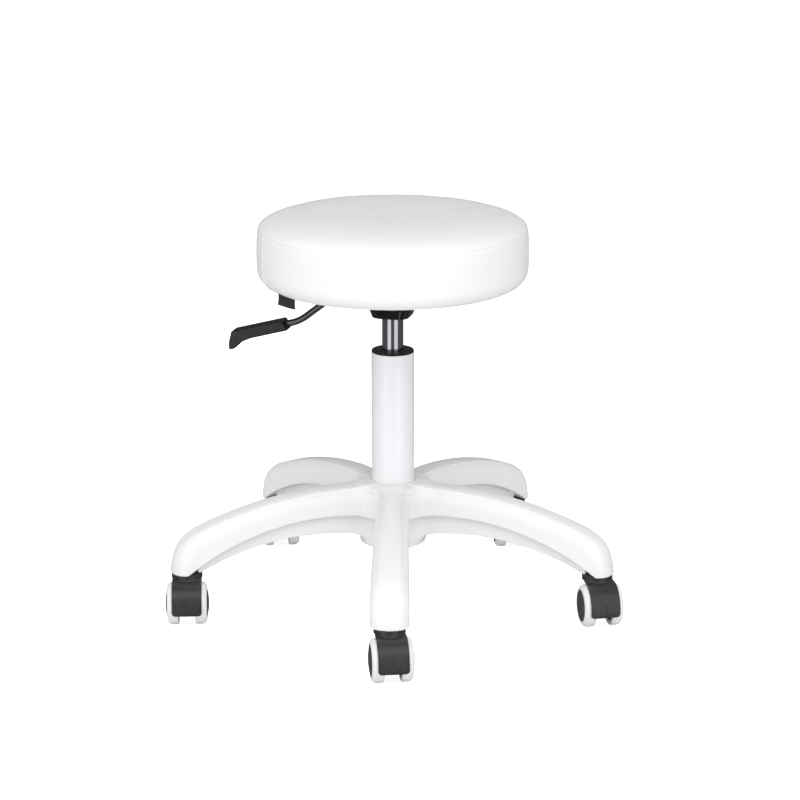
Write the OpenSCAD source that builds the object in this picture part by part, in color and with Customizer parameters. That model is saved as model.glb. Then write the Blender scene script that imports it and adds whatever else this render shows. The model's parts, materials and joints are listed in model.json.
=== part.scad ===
// Rolling stylist stool: padded round seat, gas lift with paddle lever,
// five-arm base on hooded twin-wheel casters.
// Origin on the floor under the column, +Z up, one arm towards -Y.

/* [Seat] */
// Diameter of the cushion at its widest
seat_d = 351; // [340:1:360]
// Height of the cushion's underside above the floor, seat fully down
seat_bottom_z = 432; // [431:0.5:434]
// Height of the cushion's side, from its underside to the top seam
seat_side_h = 71; // [60:1:84]
// Height that the domed top rises above the seam
seat_crown = 23; // [16:1:30]
// Radius of the fold at the bottom edge
seat_fold_r = 21; // [16:1:24]
// Thickness of the padded vinyl cover
cover_t = 1.6; // [1.2:0.1:2.4]
// Thickness of the plywood seat board
board_t = 12; // [10:0.5:15]

/* [Gas lift] */
// Diameter of the bright lift tube
lift_d = 28; // [27:0.5:29]
// Diameter of the piston rod inside it
rod_d = 10; // [9:0.5:10.5]
// Outer diameter of the steel column tube
column_d = 50; // [49:0.5:51]
// Outer diameter of the white sleeve around the column tube
sleeve_d = 56; // [55:0.5:58]
// Height of the sleeve's top edge above the floor
sleeve_top_z = 339.5; // [335:0.5:342]

/* [Mechanism and lever] */
// Height of the mechanism's underside above the floor
mech_bottom_z = 389; // [388:0.5:390]
// Side of the square mounting plate
plate_w = 160; // [150:1:170]
// Spacing of the four bolts that hold the seat board
bolt_spacing = 115; // [105:1:120]
// Direction of the lever, anticlockwise from +X
lever_azimuth = 167; // [150:1:180]
// Diameter of the lever rod
lever_rod_d = 9; // [8:0.5:9]
// Length of the paddle grip
grip_len = 80; // [74:1:86]
// Width of the paddle grip
grip_w = 25; // [22:1:28]

/* [Base] */
// Distance from the column's axis to each caster's stem
stem_circle_r = 280.5; // [275:0.5:285]
// Height of the arm tip's underside above the floor
tip_bottom_z = 65.8; // [65.4:0.1:67]
// Width of an arm
arm_w = 47; // [44:1:50]
// Wall thickness of an arm's shell
arm_wall = 4; // [3:0.5:5]

/* [Casters] */
// Diameter of a wheel
wheel_d = 55; // [54:0.5:55.5]
// Width of a wheel's tread
tread_w = 15; // [14:0.5:16]
// Gap between a caster's two wheels
wheel_gap = 21.6; // [21.2:0.2:23]
// Distance from a caster's stem to its axle
caster_offset = 16; // [15:0.5:17]
// Width of the caster's hood
hood_w = 38.5; // [36:0.5:40]

/* [Hidden] */
CASTER_PIECES = ["housing", "axle", "left_wheel", "left_tread", "right_wheel", "right_tread"];

round_fn = 96;
fit = 0.02;       // gap between pieces that are fixed together
running = 0.06;   // radial gap between pieces that turn or slide
eps = 0.1;        // distance that a cut runs past a face

// ---- Arms of the base -------------------------------------------------
arm_count = 5;
arm_step = 360 / arm_count;
front_arm = -90;
arm_top = 200;
crest_x = 60;
crest_r = 530;
crest_top_z = 163;
crest_z = crest_top_z - crest_r;
crest_sweep_out = 36;
crest_sweep_back = 8;
section_depth = 100;
section_round = 17;
lip_x = 93;
lip_r = 330;
lip_z = 126.7 - lip_r;
rib_x = 112;
rib_r = 335;
rib_z = 102.3 - rib_r;
rib_w = 26;
rib_wall = 3;
tip_r = 25;
tip_solid = 24;
nose_r = 78;
nose_start_x = 263;
nose_drop = 0.3;

// ---- Hub --------------------------------------------------------------
hub_r = 43.5;
hub_bottom_z = 80;
hub_top_z = 161.5;
rim_r = 32;
rim_round = 2.6;
sleeve_seat_z = 157;

// ---- Column and gas lift ------------------------------------------------
column_r = column_d / 2;
column_wall = 1.5;
column_bottom_z = 84;
column_top_z = sleeve_top_z - 2.5;
column_floor_t = 3;
taper_h = 66;
taper_in = 0.8;
sleeve_r = sleeve_d / 2;
sleeve_wall = 1.5;
cap_t = 2.4;
cap_rise = 1.2;
lift_r = lift_d / 2;
lift_wall = 1.8;
lift_bore_r = lift_r - lift_wall;
lift_bottom_z = 108;
lift_top_z = mech_bottom_z + 22;
lift_taper_h = 19;
lift_taper_in = 0.35;
lift_plug_h = 13;
bushing_h = 80;
seal_h = 13.5;
rod_r = rod_d / 2;
rod_pin_r = 4;
rod_top_z = 282;
head_h = 12;
race_t = 1.45;
race_r = 15;
ball_r = 1.45;
ball_circle_r = 10.5;
ball_count = 12;
race_z = column_bottom_z + column_floor_t + eps;
ball_z = race_z + race_t + 1.5;
upper_race_z = ball_z + 1.5;
shoulder_z = upper_race_z + race_t + eps;
bumper_h = 10;
bumper_r = 10.5;
clip_t = 1.2;
clip_z = column_bottom_z - clip_t - 0.2;
clip_groove_r = 3.3;

// ---- Mechanism and lever ------------------------------------------------
plate_t = 3;
plate_top_z = seat_bottom_z - 1;
plate_z = plate_top_z - plate_t;
plate_corner = 14;
cup_bottom_r = 27;
cup_mid_r = 31;
cup_mid_z = mech_bottom_z + 14;
cup_top_r = 34;
cup_wall = 4;
cup_floor_z = lift_top_z + 0.2;
slot_w = 13;
lever_r = lever_rod_d / 2;
lever_z = cup_floor_z + 4.3 + lever_r;
pivot_x = 20;
pin_r = 2;
button_r = 4;
button_low_z = lift_top_z - 11;
button_top_z = lever_z - lever_r - 0.3;
bolt_r = 3;
bolt_head_h = 4;
bolt_head_r = 5.5;
bolt_top_z = 446;
nut_barrel_r = 4;
nut_flange_r = 9;
nut_flange_t = 1.5;

// The rod runs level over the release pin, bends down, then flattens into the grip
rod_inner_x = -8;
rod_level = 50.4;
bend_angle = 38;
first_bend_r = 66;
rod_slope = 43;
second_bend_r = 55;
grip_drop = 15;
rod_tail = 38;
rod_swell = 0.05;
grip_start = 9;
grip_h = 14.5;
grip_heel = 4;
grip_lip = 9;

// ---- Seat ----------------------------------------------------------------
seat_r = seat_d / 2;
seam_z = seat_bottom_z + seat_side_h;
seam_in = 1.2;
side_bulge = 0.8;
crown_power = 4.8;
flap_r = 130;
dust_r = 140;
dust_t = 0.8;
board_z = seat_bottom_z + cover_t + 0.2;
board_r = seat_r - seat_fold_r + 1.5;
staple_r = 136;
staple_count = 24;
staple_w = 10;
staple_wire = 0.8;
staple_leg = 9;
tag_azimuth = 219.6;
tag_r = seat_r - 8.5;
tag_w = 21;
tag_t = 0.8;
tag_z = 424;
tag_h = 12;

// ---- Casters ---------------------------------------------------------------
caster_yaw = [8, 11.5, 6, 6, 3.7];
stem_r = 5.2;
stem_bottom_z = 41;
stem_top_z = 96;
socket_r = 5.6;
socket_top_z = 98;
ring_z = 84;
ring_h = 6;
ring_groove_r = 4.2;
neck_r = 20;
neck_z = 57;
neck_gap = 0.3;
axle_z = wheel_d / 2;
axle_r = 4;
axle_l = 46;
hood_in_r = axle_z + 1.2;
hood_out_r = axle_z + 3.2;
hood_low = -16;
hood_high = 112;
web_w = 10;
hood_web_w = 8;
hub_disc_r = 22;
boss_r = 9.6;
axle_boss_r = 8;
core_rim_r = 20.9;
core_rim_wall = 2;
core_hub_r = 7.5;
disc_s = 11.5;
disc_t = 3;
dome_r = 20;
dome_h = 2.9;
shoulder_r = 6.5;
inner_shoulder_r = 2;

// ---- Shared shapes -----------------------------------------------------------
module tube(r_out, r_in, z, h) {
    translate([0, 0, z])
        difference() {
            cylinder(r = r_out, h = h, $fn = round_fn);
            translate([0, 0, -eps]) cylinder(r = r_in, h = h + 2 * eps, $fn = round_fn);
        }
}

module disc(r, z, h) {
    translate([0, 0, z]) cylinder(r = r, h = h, $fn = round_fn);
}

// Arc of points from angle a to b, both included
function arc(cx, cy, r, a, b, n) =
    [for (k = [0:n]) [cx + r * cos(a + (b - a) * k / n), cy + r * sin(a + (b - a) * k / n)]];

module in_lever_frame() {
    rotate([0, 0, lever_azimuth]) children();
}

module at_arm(i) {
    rotate([0, 0, front_arm + i * arm_step]) children();
}

// ---- Base ------------------------------------------------------------------
// Section of an arm: radius along X, across the arm along Y
module arm_section(w, top, round_r) {
    translate([top - section_depth, -w / 2]) square([section_depth - round_r, w]);
    translate([top - section_depth, round_r - w / 2]) square([section_depth, w - 2 * round_r]);
    for (side = [-1, 1])
        translate([top - round_r, side * (w / 2 - round_r)]) circle(r = round_r, $fn = 48);
}

// The section swept along the crest's arc, in the vertical plane of +X
module crest_sweep(w, top, round_r) {
    translate([crest_x, 0, crest_z])
        rotate([90, 0, 0])
            rotate([0, 0, 90 - crest_sweep_out])
                rotate_extrude(angle = crest_sweep_out + crest_sweep_back, $fn = 360)
                    arm_section(w, top, round_r);
}

module cross_drum(x, z, r) {
    translate([x, 0, z])
        rotate([90, 0, 0])
            cylinder(r = r, h = 4 * arm_w, center = true, $fn = 360);
}

// Space under the plane of the arm tips
module tip_cut() {
    translate([0, -arm_w, 0]) cube([2 * stem_circle_r, 2 * arm_w, tip_bottom_z]);
}

module arm_plan() {
    translate([0, -arm_w, 0]) cube([stem_circle_r - 5, 2 * arm_w, arm_top]);
    disc_at_tip(tip_r, 0, arm_top);
}

module disc_at_tip(r, z, h) {
    translate([stem_circle_r, 0, 0]) disc(r, z, h);
}

// Keeps the part of the arm inside the nose's arc, which leaves the crest's arc smoothly
module nose_keep() {
    run = nose_start_x - crest_x;
    reach = (crest_r - nose_r) / crest_r;
    translate([0, -arm_w, 0]) cube([nose_start_x, 2 * arm_w, arm_top]);
    cross_drum(crest_x + run * reach,
               crest_z + sqrt(crest_r * crest_r - run * run) * reach - nose_drop, nose_r);
}

module arm_shell() {
    difference() {
        intersection() {
            crest_sweep(arm_w, crest_r, section_round);
            arm_plan();
            nose_keep();
        }
        cross_drum(lip_x, lip_z, lip_r);
        tip_cut();
        intersection() {
            crest_sweep(arm_w - 2 * arm_wall, crest_r - arm_wall, section_round - arm_wall);
            translate([0, -arm_w, 0]) cube([stem_circle_r - tip_solid, 2 * arm_w, arm_top]);
        }
    }
}

module arm_rib() {
    difference() {
        intersection() {
            crest_sweep(rib_w, crest_r - arm_wall / 2, 3);
            translate([0, -arm_w, 0]) cube([stem_circle_r - tip_solid / 2, 2 * arm_w, arm_top]);
        }
        cross_drum(rib_x, rib_z, rib_r);
        tip_cut();
        intersection() {
            crest_sweep(rib_w - 2 * rib_wall, crest_r - 2 * arm_wall, 1);
            translate([0, -arm_w, 0]) cube([stem_circle_r - tip_solid, 2 * arm_w, arm_top]);
        }
    }
}

module stem_socket() {
    disc_at_tip(socket_r, tip_bottom_z - eps, socket_top_z - tip_bottom_z + eps);
}

module column_socket() {
    taper_top_z = column_bottom_z + taper_h;
    translate([0, 0, column_bottom_z])
        cylinder(r1 = column_r - taper_in + fit, r2 = column_r + fit, h = taper_h, $fn = round_fn);
    disc(column_r - taper_in + fit, hub_bottom_z - eps, column_bottom_z - hub_bottom_z + 2 * eps);
    disc(column_r + fit, taper_top_z - eps, hub_top_z - taper_top_z + 1);
    disc(sleeve_r + fit, sleeve_seat_z, hub_top_z);
}

module star_base() {
    color("white")
        difference() {
            union() {
                for (i = [0:arm_count - 1]) at_arm(i) {
                    arm_shell();
                    arm_rib();
                }
                disc(hub_r, hub_bottom_z, hub_top_z - hub_bottom_z);
                rotate_extrude($fn = round_fn)
                    translate([rim_r, hub_top_z]) circle(r = rim_round, $fn = 32);
            }
            column_socket();
            for (i = [0:arm_count - 1]) at_arm(i) stem_socket();
        }
}

module column_tube() {
    taper_top_z = column_bottom_z + taper_h;
    inner_r = column_r - column_wall;
    color("dimgray")
        difference() {
            union() {
                translate([0, 0, column_bottom_z])
                    cylinder(r1 = column_r - taper_in, r2 = column_r, h = taper_h, $fn = round_fn);
                disc(column_r, taper_top_z, column_top_z - taper_top_z);
            }
            disc(inner_r, column_bottom_z + taper_h, column_top_z);
            translate([0, 0, column_bottom_z + column_floor_t])
                cylinder(r1 = inner_r - taper_in, r2 = inner_r, h = taper_h - column_floor_t + eps / 10,
                         $fn = round_fn);
            disc(rod_pin_r + running, column_bottom_z - 1, column_floor_t + 2);
        }
}

module column_sleeve() {
    color("white")
        tube(sleeve_r, sleeve_r - sleeve_wall, sleeve_seat_z + fit, sleeve_top_z - sleeve_seat_z - fit);
}

module column_cap() {
    z = sleeve_top_z + fit;
    color([0.06, 0.06, 0.065])
        difference() {
            union() {
                disc(sleeve_r - 0.4, z, cap_t);
                translate([0, 0, z + cap_t])
                    cylinder(r1 = sleeve_r - 2.5, r2 = lift_r + 3, h = cap_rise, $fn = round_fn);
                disc(sleeve_r - sleeve_wall - fit, column_top_z + fit, z - column_top_z);
            }
            disc(lift_r + 0.35, column_top_z - 1, 20);
        }
}

module guide_bushing() {
    color("black")
        tube(column_r - column_wall - fit, lift_r + running, column_top_z - bushing_h, bushing_h);
}

module caster_stems() {
    color("silver")
        for (i = [0:arm_count - 1])
            at_arm(i) {
                disc_at_tip(stem_r, stem_bottom_z, ring_z - stem_bottom_z);
                disc_at_tip(ring_groove_r, ring_z, ring_h);
                disc_at_tip(stem_r, ring_z + ring_h, stem_top_z - ring_z - ring_h);
            }
}

module split_ring(r_in, r_out, h, angle) {
    rotate_extrude(angle = angle, $fn = round_fn)
        translate([r_in, 0]) square([r_out - r_in, h]);
}

module stem_grip_rings() {
    gap = 0.1;
    color("gray")
        for (i = [0:arm_count - 1])
            at_arm(i)
                translate([stem_circle_r, 0, ring_z + gap])
                    split_ring(ring_groove_r + gap / 2, socket_r - fit, ring_h - 2 * gap, 320);
}

// ---- Thrust bearing and piston rod ---------------------------------------------
module bearing_lower_race() {
    color("silver") tube(race_r, rod_pin_r + 1.5, race_z, race_t);
}

module bearing_balls() {
    color("lightgray")
        for (k = [0:ball_count - 1])
            rotate([0, 0, k * 360 / ball_count])
                translate([ball_circle_r, 0, ball_z]) sphere(r = ball_r, $fn = 32);
}

module bearing_cage() {
    cage_h = 1.2;
    color("goldenrod")
        difference() {
            tube(race_r - 1, rod_pin_r + 2.5, ball_z - cage_h / 2, cage_h);
            for (k = [0:ball_count - 1])
                rotate([0, 0, k * 360 / ball_count])
                    translate([ball_circle_r, 0, ball_z - 2]) cylinder(r = ball_r + 0.1, h = 4, $fn = 32);
        }
}

module bearing_upper_race() {
    color("silver") tube(race_r, rod_pin_r + fit, upper_race_z, race_t);
}

module piston_rod() {
    color("silver") {
        disc(rod_pin_r, hub_bottom_z + 0.5, clip_z - hub_bottom_z - 0.6);
        disc(clip_groove_r, clip_z - eps, clip_t + 2 * eps);
        disc(rod_pin_r, clip_z + clip_t + eps, shoulder_z - clip_z - clip_t - eps);
        disc(rod_r, shoulder_z, rod_top_z - shoulder_z);
    }
}

module piston_head() {
    color("dimgray")
        tube(lift_bore_r - running, rod_r + fit, rod_top_z - head_h, head_h);
}

module retaining_clip() {
    color("gray")
        translate([0, 0, clip_z]) split_ring(clip_groove_r + fit, rod_pin_r + 3, clip_t, 290);
}

module rubber_bumper() {
    color("black") tube(bumper_r, rod_r + fit, shoulder_z + eps, bumper_h);
}

// ---- Lift tube ------------------------------------------------------------------
module lift_outline(grow, top_z) {
    taper_z = lift_top_z - lift_taper_h;
    disc(lift_r + grow, lift_bottom_z, taper_z - lift_bottom_z);
    translate([0, 0, taper_z])
        cylinder(r1 = lift_r + grow, r2 = lift_r - lift_taper_in + grow, h = top_z - taper_z, $fn = round_fn);
}

module pressure_tube() {
    color([0.62, 0.64, 0.68])
        difference() {
            lift_outline(0, lift_top_z);
            disc(lift_bore_r, lift_bottom_z - eps, lift_top_z - lift_plug_h - lift_bottom_z + eps);
            disc(button_r + running, button_low_z - 5, 30);
        }
}

module rod_seal() {
    color("black") tube(lift_bore_r - fit, rod_r + running, lift_bottom_z + 0.5, seal_h);
}

module release_button() {
    color("orangered") disc(button_r, button_low_z, button_top_z - button_low_z);
}

// ---- Mechanism --------------------------------------------------------------------
module bolt_places() {
    for (x = [-1, 1], y = [-1, 1])
        translate([x * bolt_spacing / 2, y * bolt_spacing / 2, 0]) children();
}

module rounded_plate() {
    w = plate_w / 2 - plate_corner;
    translate([-w, -plate_w / 2, plate_z]) cube([2 * w, plate_w, plate_t]);
    translate([-plate_w / 2, -w, plate_z]) cube([plate_w, 2 * w, plate_t]);
    for (x = [-w, w], y = [-w, w]) translate([x, y, 0]) disc(plate_corner, plate_z, plate_t);
}

module cup_body() {
    rotate_extrude($fn = round_fn)
        polygon(concat(
            [[0, mech_bottom_z]],
            arc(cup_bottom_r - 3, mech_bottom_z + 3, 3, -90, -10, 6),
            [[cup_mid_r, cup_mid_z], [cup_top_r, plate_z + 1], [0, plate_z + 1]]));
}

module mechanism_housing() {
    color([0.05, 0.05, 0.055])
        in_lever_frame()
            difference() {
                union() {
                    rounded_plate();
                    cup_body();
                }
                lift_outline(fit, lift_top_z);
                disc(cup_mid_r - cup_wall, cup_floor_z, 40);
                disc(button_r + 3, lift_top_z - 1, 10);
                translate([0, -slot_w / 2, cup_floor_z]) cube([cup_top_r + 6, slot_w, plate_z - cup_floor_z]);
                translate([pivot_x, 0, lever_z])
                    rotate([90, 0, 0]) cylinder(r = pin_r + fit, h = 100, center = true, $fn = 48);
                bolt_places() disc(bolt_r + 0.2, plate_z - 1, plate_t + 2);
            }
}

module lever_pivot_pin() {
    color("silver")
        in_lever_frame()
            translate([pivot_x, 0, lever_z])
                rotate([90, 0, 0]) cylinder(r = pin_r, h = 50, center = true, $fn = 48);
}

module plate_bolts() {
    color("silver")
        in_lever_frame()
            bolt_places() {
                translate([0, 0, plate_z - bolt_head_h - fit]) cylinder(r = bolt_head_r, h = bolt_head_h, $fn = 6);
                disc(bolt_r, plate_z - bolt_head_h, bolt_top_z - plate_z + bolt_head_h);
            }
}

module t_nuts() {
    z = board_z + board_t - nut_flange_t;
    color("goldenrod")
        in_lever_frame()
            bolt_places() {
                tube(nut_barrel_r, bolt_r + fit, board_z + 2, z - board_z - 2);
                tube(nut_flange_r, bolt_r + fit, z, nut_flange_t - eps);
            }
}

// ---- Lever -------------------------------------------------------------------------
// Pieces of bent rod that start at the origin along +X
module rod_straight(r, length) {
    rotate([0, 90, 0]) cylinder(r = r, h = length, $fn = 48);
}

// A bend, with a slight swell at each end that joins it to its neighbours
module rod_bend_down(r, bend_r, angle) {
    sphere(r = r + rod_swell, $fn = 48);
    after_bend_down(bend_r, angle) sphere(r = r + rod_swell, $fn = 48);
    translate([0, 0, -bend_r])
        rotate([90, 0, 0])
            rotate([0, 0, 90 - angle])
                rotate_extrude(angle = angle, $fn = 180) translate([bend_r, 0]) circle(r = r, $fn = 48);
}

module after_bend_down(bend_r, angle) {
    translate([bend_r * sin(angle), 0, -bend_r * (1 - cos(angle))])
        rotate([0, angle, 0]) children();
}

module in_slope_frame() {
    translate([rod_inner_x + rod_level, 0, lever_z])
        after_bend_down(first_bend_r, bend_angle) children();
}

// Frame at the start of the rod's straight tail, +X towards the grip's tip
module in_tail_frame() {
    in_slope_frame()
        translate([rod_slope, 0, 0])
            mirror([0, 0, 1])
                after_bend_down(second_bend_r, bend_angle - grip_drop)
                    mirror([0, 0, 1]) children();
}

module lever_rod() {
    color([0.07, 0.07, 0.075])
        in_lever_frame()
            difference() {
                union() {
                    translate([rod_inner_x, 0, lever_z]) rod_straight(lever_r, rod_level);
                    translate([rod_inner_x + rod_level, 0, lever_z])
                        rod_bend_down(lever_r, first_bend_r, bend_angle);
                    in_slope_frame() {
                        rod_straight(lever_r, rod_slope);
                        translate([rod_slope, 0, 0])
                            mirror([0, 0, 1])
                                rod_bend_down(lever_r, second_bend_r, bend_angle - grip_drop);
                    }
                    in_tail_frame() rod_straight(lever_r, rod_tail);
                }
                translate([pivot_x, 0, lever_z])
                    rotate([90, 0, 0]) cylinder(r = pin_r + running, h = 30, center = true, $fn = 48);
            }
}

module lever_grip() {
    half = grip_h / 2;
    color([0.12, 0.12, 0.125])
        in_lever_frame()
            in_tail_frame()
                difference() {
                    translate([grip_start, grip_w / 2, 0])
                        rotate([90, 0, 0])
                            linear_extrude(grip_w)
                                polygon([[-grip_heel, -half], [0, half], [grip_len - 8, half], [grip_len, -half],
                                         [grip_len + 2, -half - grip_lip], [grip_len - 6, -half - grip_lip],
                                         [grip_len - 18, -half - 2], [grip_len - 32, -half]]);
                    rod_straight(lever_r + fit, rod_tail + fit);
                }
}

// ---- Seat ------------------------------------------------------------------------
// Outline of the cushion from the axis at the bottom round to the axis at the top,
// taken in by a wall thickness
function seat_outline(inset) =
    let (r = seat_r - inset,
         fold = seat_fold_r - inset,
         z0 = seat_bottom_z + inset,
         edge_r = r - seam_in,
         crown = seat_crown - inset,
         side_z = z0 + fold)
    concat(
        [[0, z0]],
        arc(r - fold, side_z, fold, -90, 0, 10),
        [for (k = [1:7]) let (t = k / 8)
            [r - seam_in * t + side_bulge * sin(180 * t), side_z + (seam_z - side_z) * t]],
        [for (k = [0:24]) let (x = edge_r * cos(90 * k / 24))
            [x, seam_z + crown * sqrt(1 - pow(x / edge_r, crown_power))]]
    );

module seat_board() {
    color("burlywood")
        difference() {
            disc(board_r, board_z, board_t);
            in_lever_frame()
                bolt_places() {
                    disc(nut_barrel_r + fit, board_z - 1, board_t + 2);
                    disc(nut_flange_r + fit, board_z + board_t - nut_flange_t - fit, nut_flange_t + 1);
                }
        }
}

module seat_foam() {
    gap = 0.2;
    color("khaki")
        rotate_extrude($fn = round_fn)
            difference() {
                polygon(seat_outline(cover_t + gap));
                square([board_r + gap, board_z + board_t + gap]);
            }
}

module seat_cover() {
    color([0.97, 0.97, 0.965])
        rotate_extrude($fn = round_fn)
            difference() {
                polygon(seat_outline(0));
                polygon(seat_outline(cover_t));
                square([flap_r, board_z + 1]);
            }
}

module dust_cover() {
    color("black")
        difference() {
            disc(dust_r, plate_top_z + 0.1, dust_t);
            in_lever_frame() bolt_places() disc(bolt_r + 0.2, plate_top_z - 1, 4);
        }
}

module cover_staples() {
    color("silver")
        for (k = [0:staple_count - 1])
            rotate([0, 0, (k + 0.5) * 360 / staple_count])
                translate([staple_r, 0, plate_top_z - staple_wire]) {
                    translate([-staple_wire / 2, -staple_w / 2, 0]) cube([staple_wire, staple_w, staple_wire]);
                    for (side = [-1, 1])
                        translate([-staple_wire / 2, side * (staple_w - staple_wire) / 2 - staple_wire / 2, 0])
                            cube([staple_wire, staple_wire, staple_leg]);
                }
}

module label_tag() {
    color([0.08, 0.08, 0.085])
        rotate([0, 0, tag_azimuth])
            translate([tag_r, -tag_w / 2, tag_z]) cube([tag_t, tag_w, tag_h]);
}

// ---- Casters -----------------------------------------------------------------------
// Frame of caster i: stem axis at the origin, hood towards -Y
module caster_frame(i) {
    at_arm(i - 1)
        translate([stem_circle_r, 0, 0])
            rotate([0, 0, caster_yaw[i - 1] - front_arm - (i - 1) * arm_step]) children();
}

// Frame with +Z along the axle towards one side (-1 is the left, +X is the right)
module axle_frame(side) {
    translate([0, -caster_offset, axle_z]) rotate([0, side * 90, 0]) children();
}

module hood_section() {
    translate([hood_in_r, -hood_w / 2]) square([hood_out_r - hood_in_r, hood_w]);
    translate([axle_boss_r - 2, -hood_web_w / 2]) square([hood_in_r - axle_boss_r + 3, hood_web_w]);
}

module caster_housing(i) {
    color([0.13, 0.13, 0.14])
        caster_frame(i)
            difference() {
                union() {
                    disc(neck_r, neck_z, tip_bottom_z - neck_gap - neck_z);
                    disc(boss_r, axle_z, neck_z - axle_z + 1);
                    translate([0, -caster_offset, axle_z])
                        rotate([0, -90, 0])
                            rotate([0, 0, hood_low - 90])
                                rotate_extrude(angle = hood_high - hood_low, $fn = round_fn) hood_section();
                    axle_frame(1)
                        translate([0, 0, -web_w / 2]) cylinder(r = hub_disc_r, h = web_w, $fn = round_fn);
                    axle_frame(1)
                        translate([0, 0, -wheel_gap / 2 + 0.4])
                            cylinder(r = axle_boss_r, h = wheel_gap - 0.8, $fn = round_fn);
                }
                disc(stem_r + running, stem_bottom_z - 0.5, 40);
                axle_frame(1) translate([0, 0, -30]) cylinder(r = axle_r + fit, h = 60, $fn = round_fn);
            }
}

module caster_axle(i) {
    color("silver")
        caster_frame(i)
            axle_frame(1) translate([0, 0, -axle_l / 2]) cylinder(r = axle_r, h = axle_l, $fn = round_fn);
}

// Wheel pieces start at the wheel's inner face and run outwards along +Z
module wheel_core() {
    difference() {
        union() {
            disc(core_hub_r, 0, disc_s + eps);
            disc(core_rim_r, disc_s, disc_t);
            tube(core_rim_r, core_rim_r - core_rim_wall, 0.6, disc_s - 0.5);
            rotate_extrude($fn = round_fn) polygon(concat([[0, disc_s + disc_t - eps]], dome_points()));
        }
        disc(axle_r + running, -1, axle_l / 2 - wheel_gap / 2 + 1.5);
    }
}

function dome_points() =
    let (z = disc_s + disc_t,
         ball = (dome_r * dome_r + dome_h * dome_h) / (2 * dome_h),
         half = asin(dome_r / ball))
    concat([[dome_r, z - eps]],
           [for (k = [0:8]) [ball * sin(half * (1 - k / 8)), z + dome_h - ball + ball * cos(half * (1 - k / 8))]]);

module wheel_tread() {
    r = wheel_d / 2;
    r_in = core_rim_r + fit;
    rotate_extrude($fn = round_fn) {
        translate([r_in, 0]) square([r - shoulder_r - r_in, tread_w]);
        translate([r_in, inner_shoulder_r]) square([r - r_in, tread_w - shoulder_r - inner_shoulder_r]);
        translate([r_in, 0]) square([r - inner_shoulder_r - r_in, tread_w - shoulder_r]);
        intersection() {
            translate([r - shoulder_r, tread_w - shoulder_r]) circle(r = shoulder_r, $fn = 48);
            translate([r_in, 0]) square([r, tread_w]);
        }
        translate([r - inner_shoulder_r, inner_shoulder_r]) circle(r = inner_shoulder_r, $fn = 32);
    }
}

module caster_wheel(i, side) {
    color([0.2, 0.2, 0.21])
        caster_frame(i) axle_frame(side) translate([0, 0, wheel_gap / 2]) wheel_core();
}

module caster_tread(i, side) {
    color("white")
        caster_frame(i) axle_frame(side) translate([0, 0, wheel_gap / 2]) wheel_tread();
}

star_base();
column_tube();
column_sleeve();
column_cap();
guide_bushing();
caster_stems();
stem_grip_rings();
bearing_lower_race();
bearing_balls();
bearing_cage();
bearing_upper_race();
piston_rod();
piston_head();
retaining_clip();
rubber_bumper();
pressure_tube();
rod_seal();
mechanism_housing();
lever_pivot_pin();
plate_bolts();
t_nuts();
seat_board();
seat_foam();
seat_cover();
dust_cover();
cover_staples();
label_tag();
lever_rod();
lever_grip();
release_button();
for (i = [1:5]) {
    caster_housing(i);
    caster_axle(i);
    caster_wheel(i, -1);
    caster_tread(i, -1);
    caster_wheel(i, 1);
    caster_tread(i, 1);
}
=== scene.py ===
"""Looks of a rolling stylist stool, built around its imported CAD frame.

Lengths are metres in the frame of the CAD: origin on the floor under the column, +Z up,
one arm of the base towards -Y.
"""
import json
import math

import bmesh
import bpy
import numpy as np
from mathutils import Matrix, Vector


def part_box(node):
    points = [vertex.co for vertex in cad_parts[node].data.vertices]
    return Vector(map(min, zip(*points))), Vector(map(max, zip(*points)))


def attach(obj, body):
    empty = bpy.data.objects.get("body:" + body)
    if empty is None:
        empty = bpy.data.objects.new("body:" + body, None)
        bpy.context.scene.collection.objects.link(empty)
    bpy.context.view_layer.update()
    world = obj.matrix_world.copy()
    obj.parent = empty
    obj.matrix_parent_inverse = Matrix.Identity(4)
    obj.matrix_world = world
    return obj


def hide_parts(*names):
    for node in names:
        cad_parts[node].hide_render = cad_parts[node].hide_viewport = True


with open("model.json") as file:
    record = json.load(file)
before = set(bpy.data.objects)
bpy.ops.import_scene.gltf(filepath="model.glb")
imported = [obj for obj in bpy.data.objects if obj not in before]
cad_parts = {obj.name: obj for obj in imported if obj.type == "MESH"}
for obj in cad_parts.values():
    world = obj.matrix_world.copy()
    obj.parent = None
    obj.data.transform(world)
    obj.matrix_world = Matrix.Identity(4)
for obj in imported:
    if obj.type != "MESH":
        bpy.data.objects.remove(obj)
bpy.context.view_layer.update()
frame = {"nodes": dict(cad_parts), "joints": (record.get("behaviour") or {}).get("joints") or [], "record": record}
mm = 0.001
WELD_GAP = 0.001 * mm
CURVE_STEPS = 5
SIDE_SHARE_USED, LEAD_IN = 0.45, 0.1
DOME_RINGS = 5


# ---- Reading the frame
def joint(name):
    return next(j for j in frame["joints"] if j["name"] == name)


def bottom(node):
    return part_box(node)[0].z


def top(node):
    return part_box(node)[1].z


def radius(node):
    """Outer radius of a node that is round about the column's axis."""
    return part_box(node)[1].x


def turn_about_z(degrees):
    return Matrix.Rotation(math.radians(degrees), 4, "Z")


# ---- Meshes from arrays
def linked(name, data):
    """A new object in the scene."""
    made = bpy.data.objects.new(name, data)
    bpy.context.scene.collection.objects.link(made)
    return made


def mesh_object(name, points, faces, normals=None):
    mesh = bpy.data.meshes.new(name)
    mesh.from_pydata(np.asarray(points).tolist(), [], [list(map(int, f)) for f in faces])
    mesh.polygons.foreach_set("use_smooth", [True] * len(mesh.polygons))
    if normals is not None:
        mesh.normals_split_custom_set_from_vertices(normals)
    mesh.update()
    return linked(name, mesh)


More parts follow.
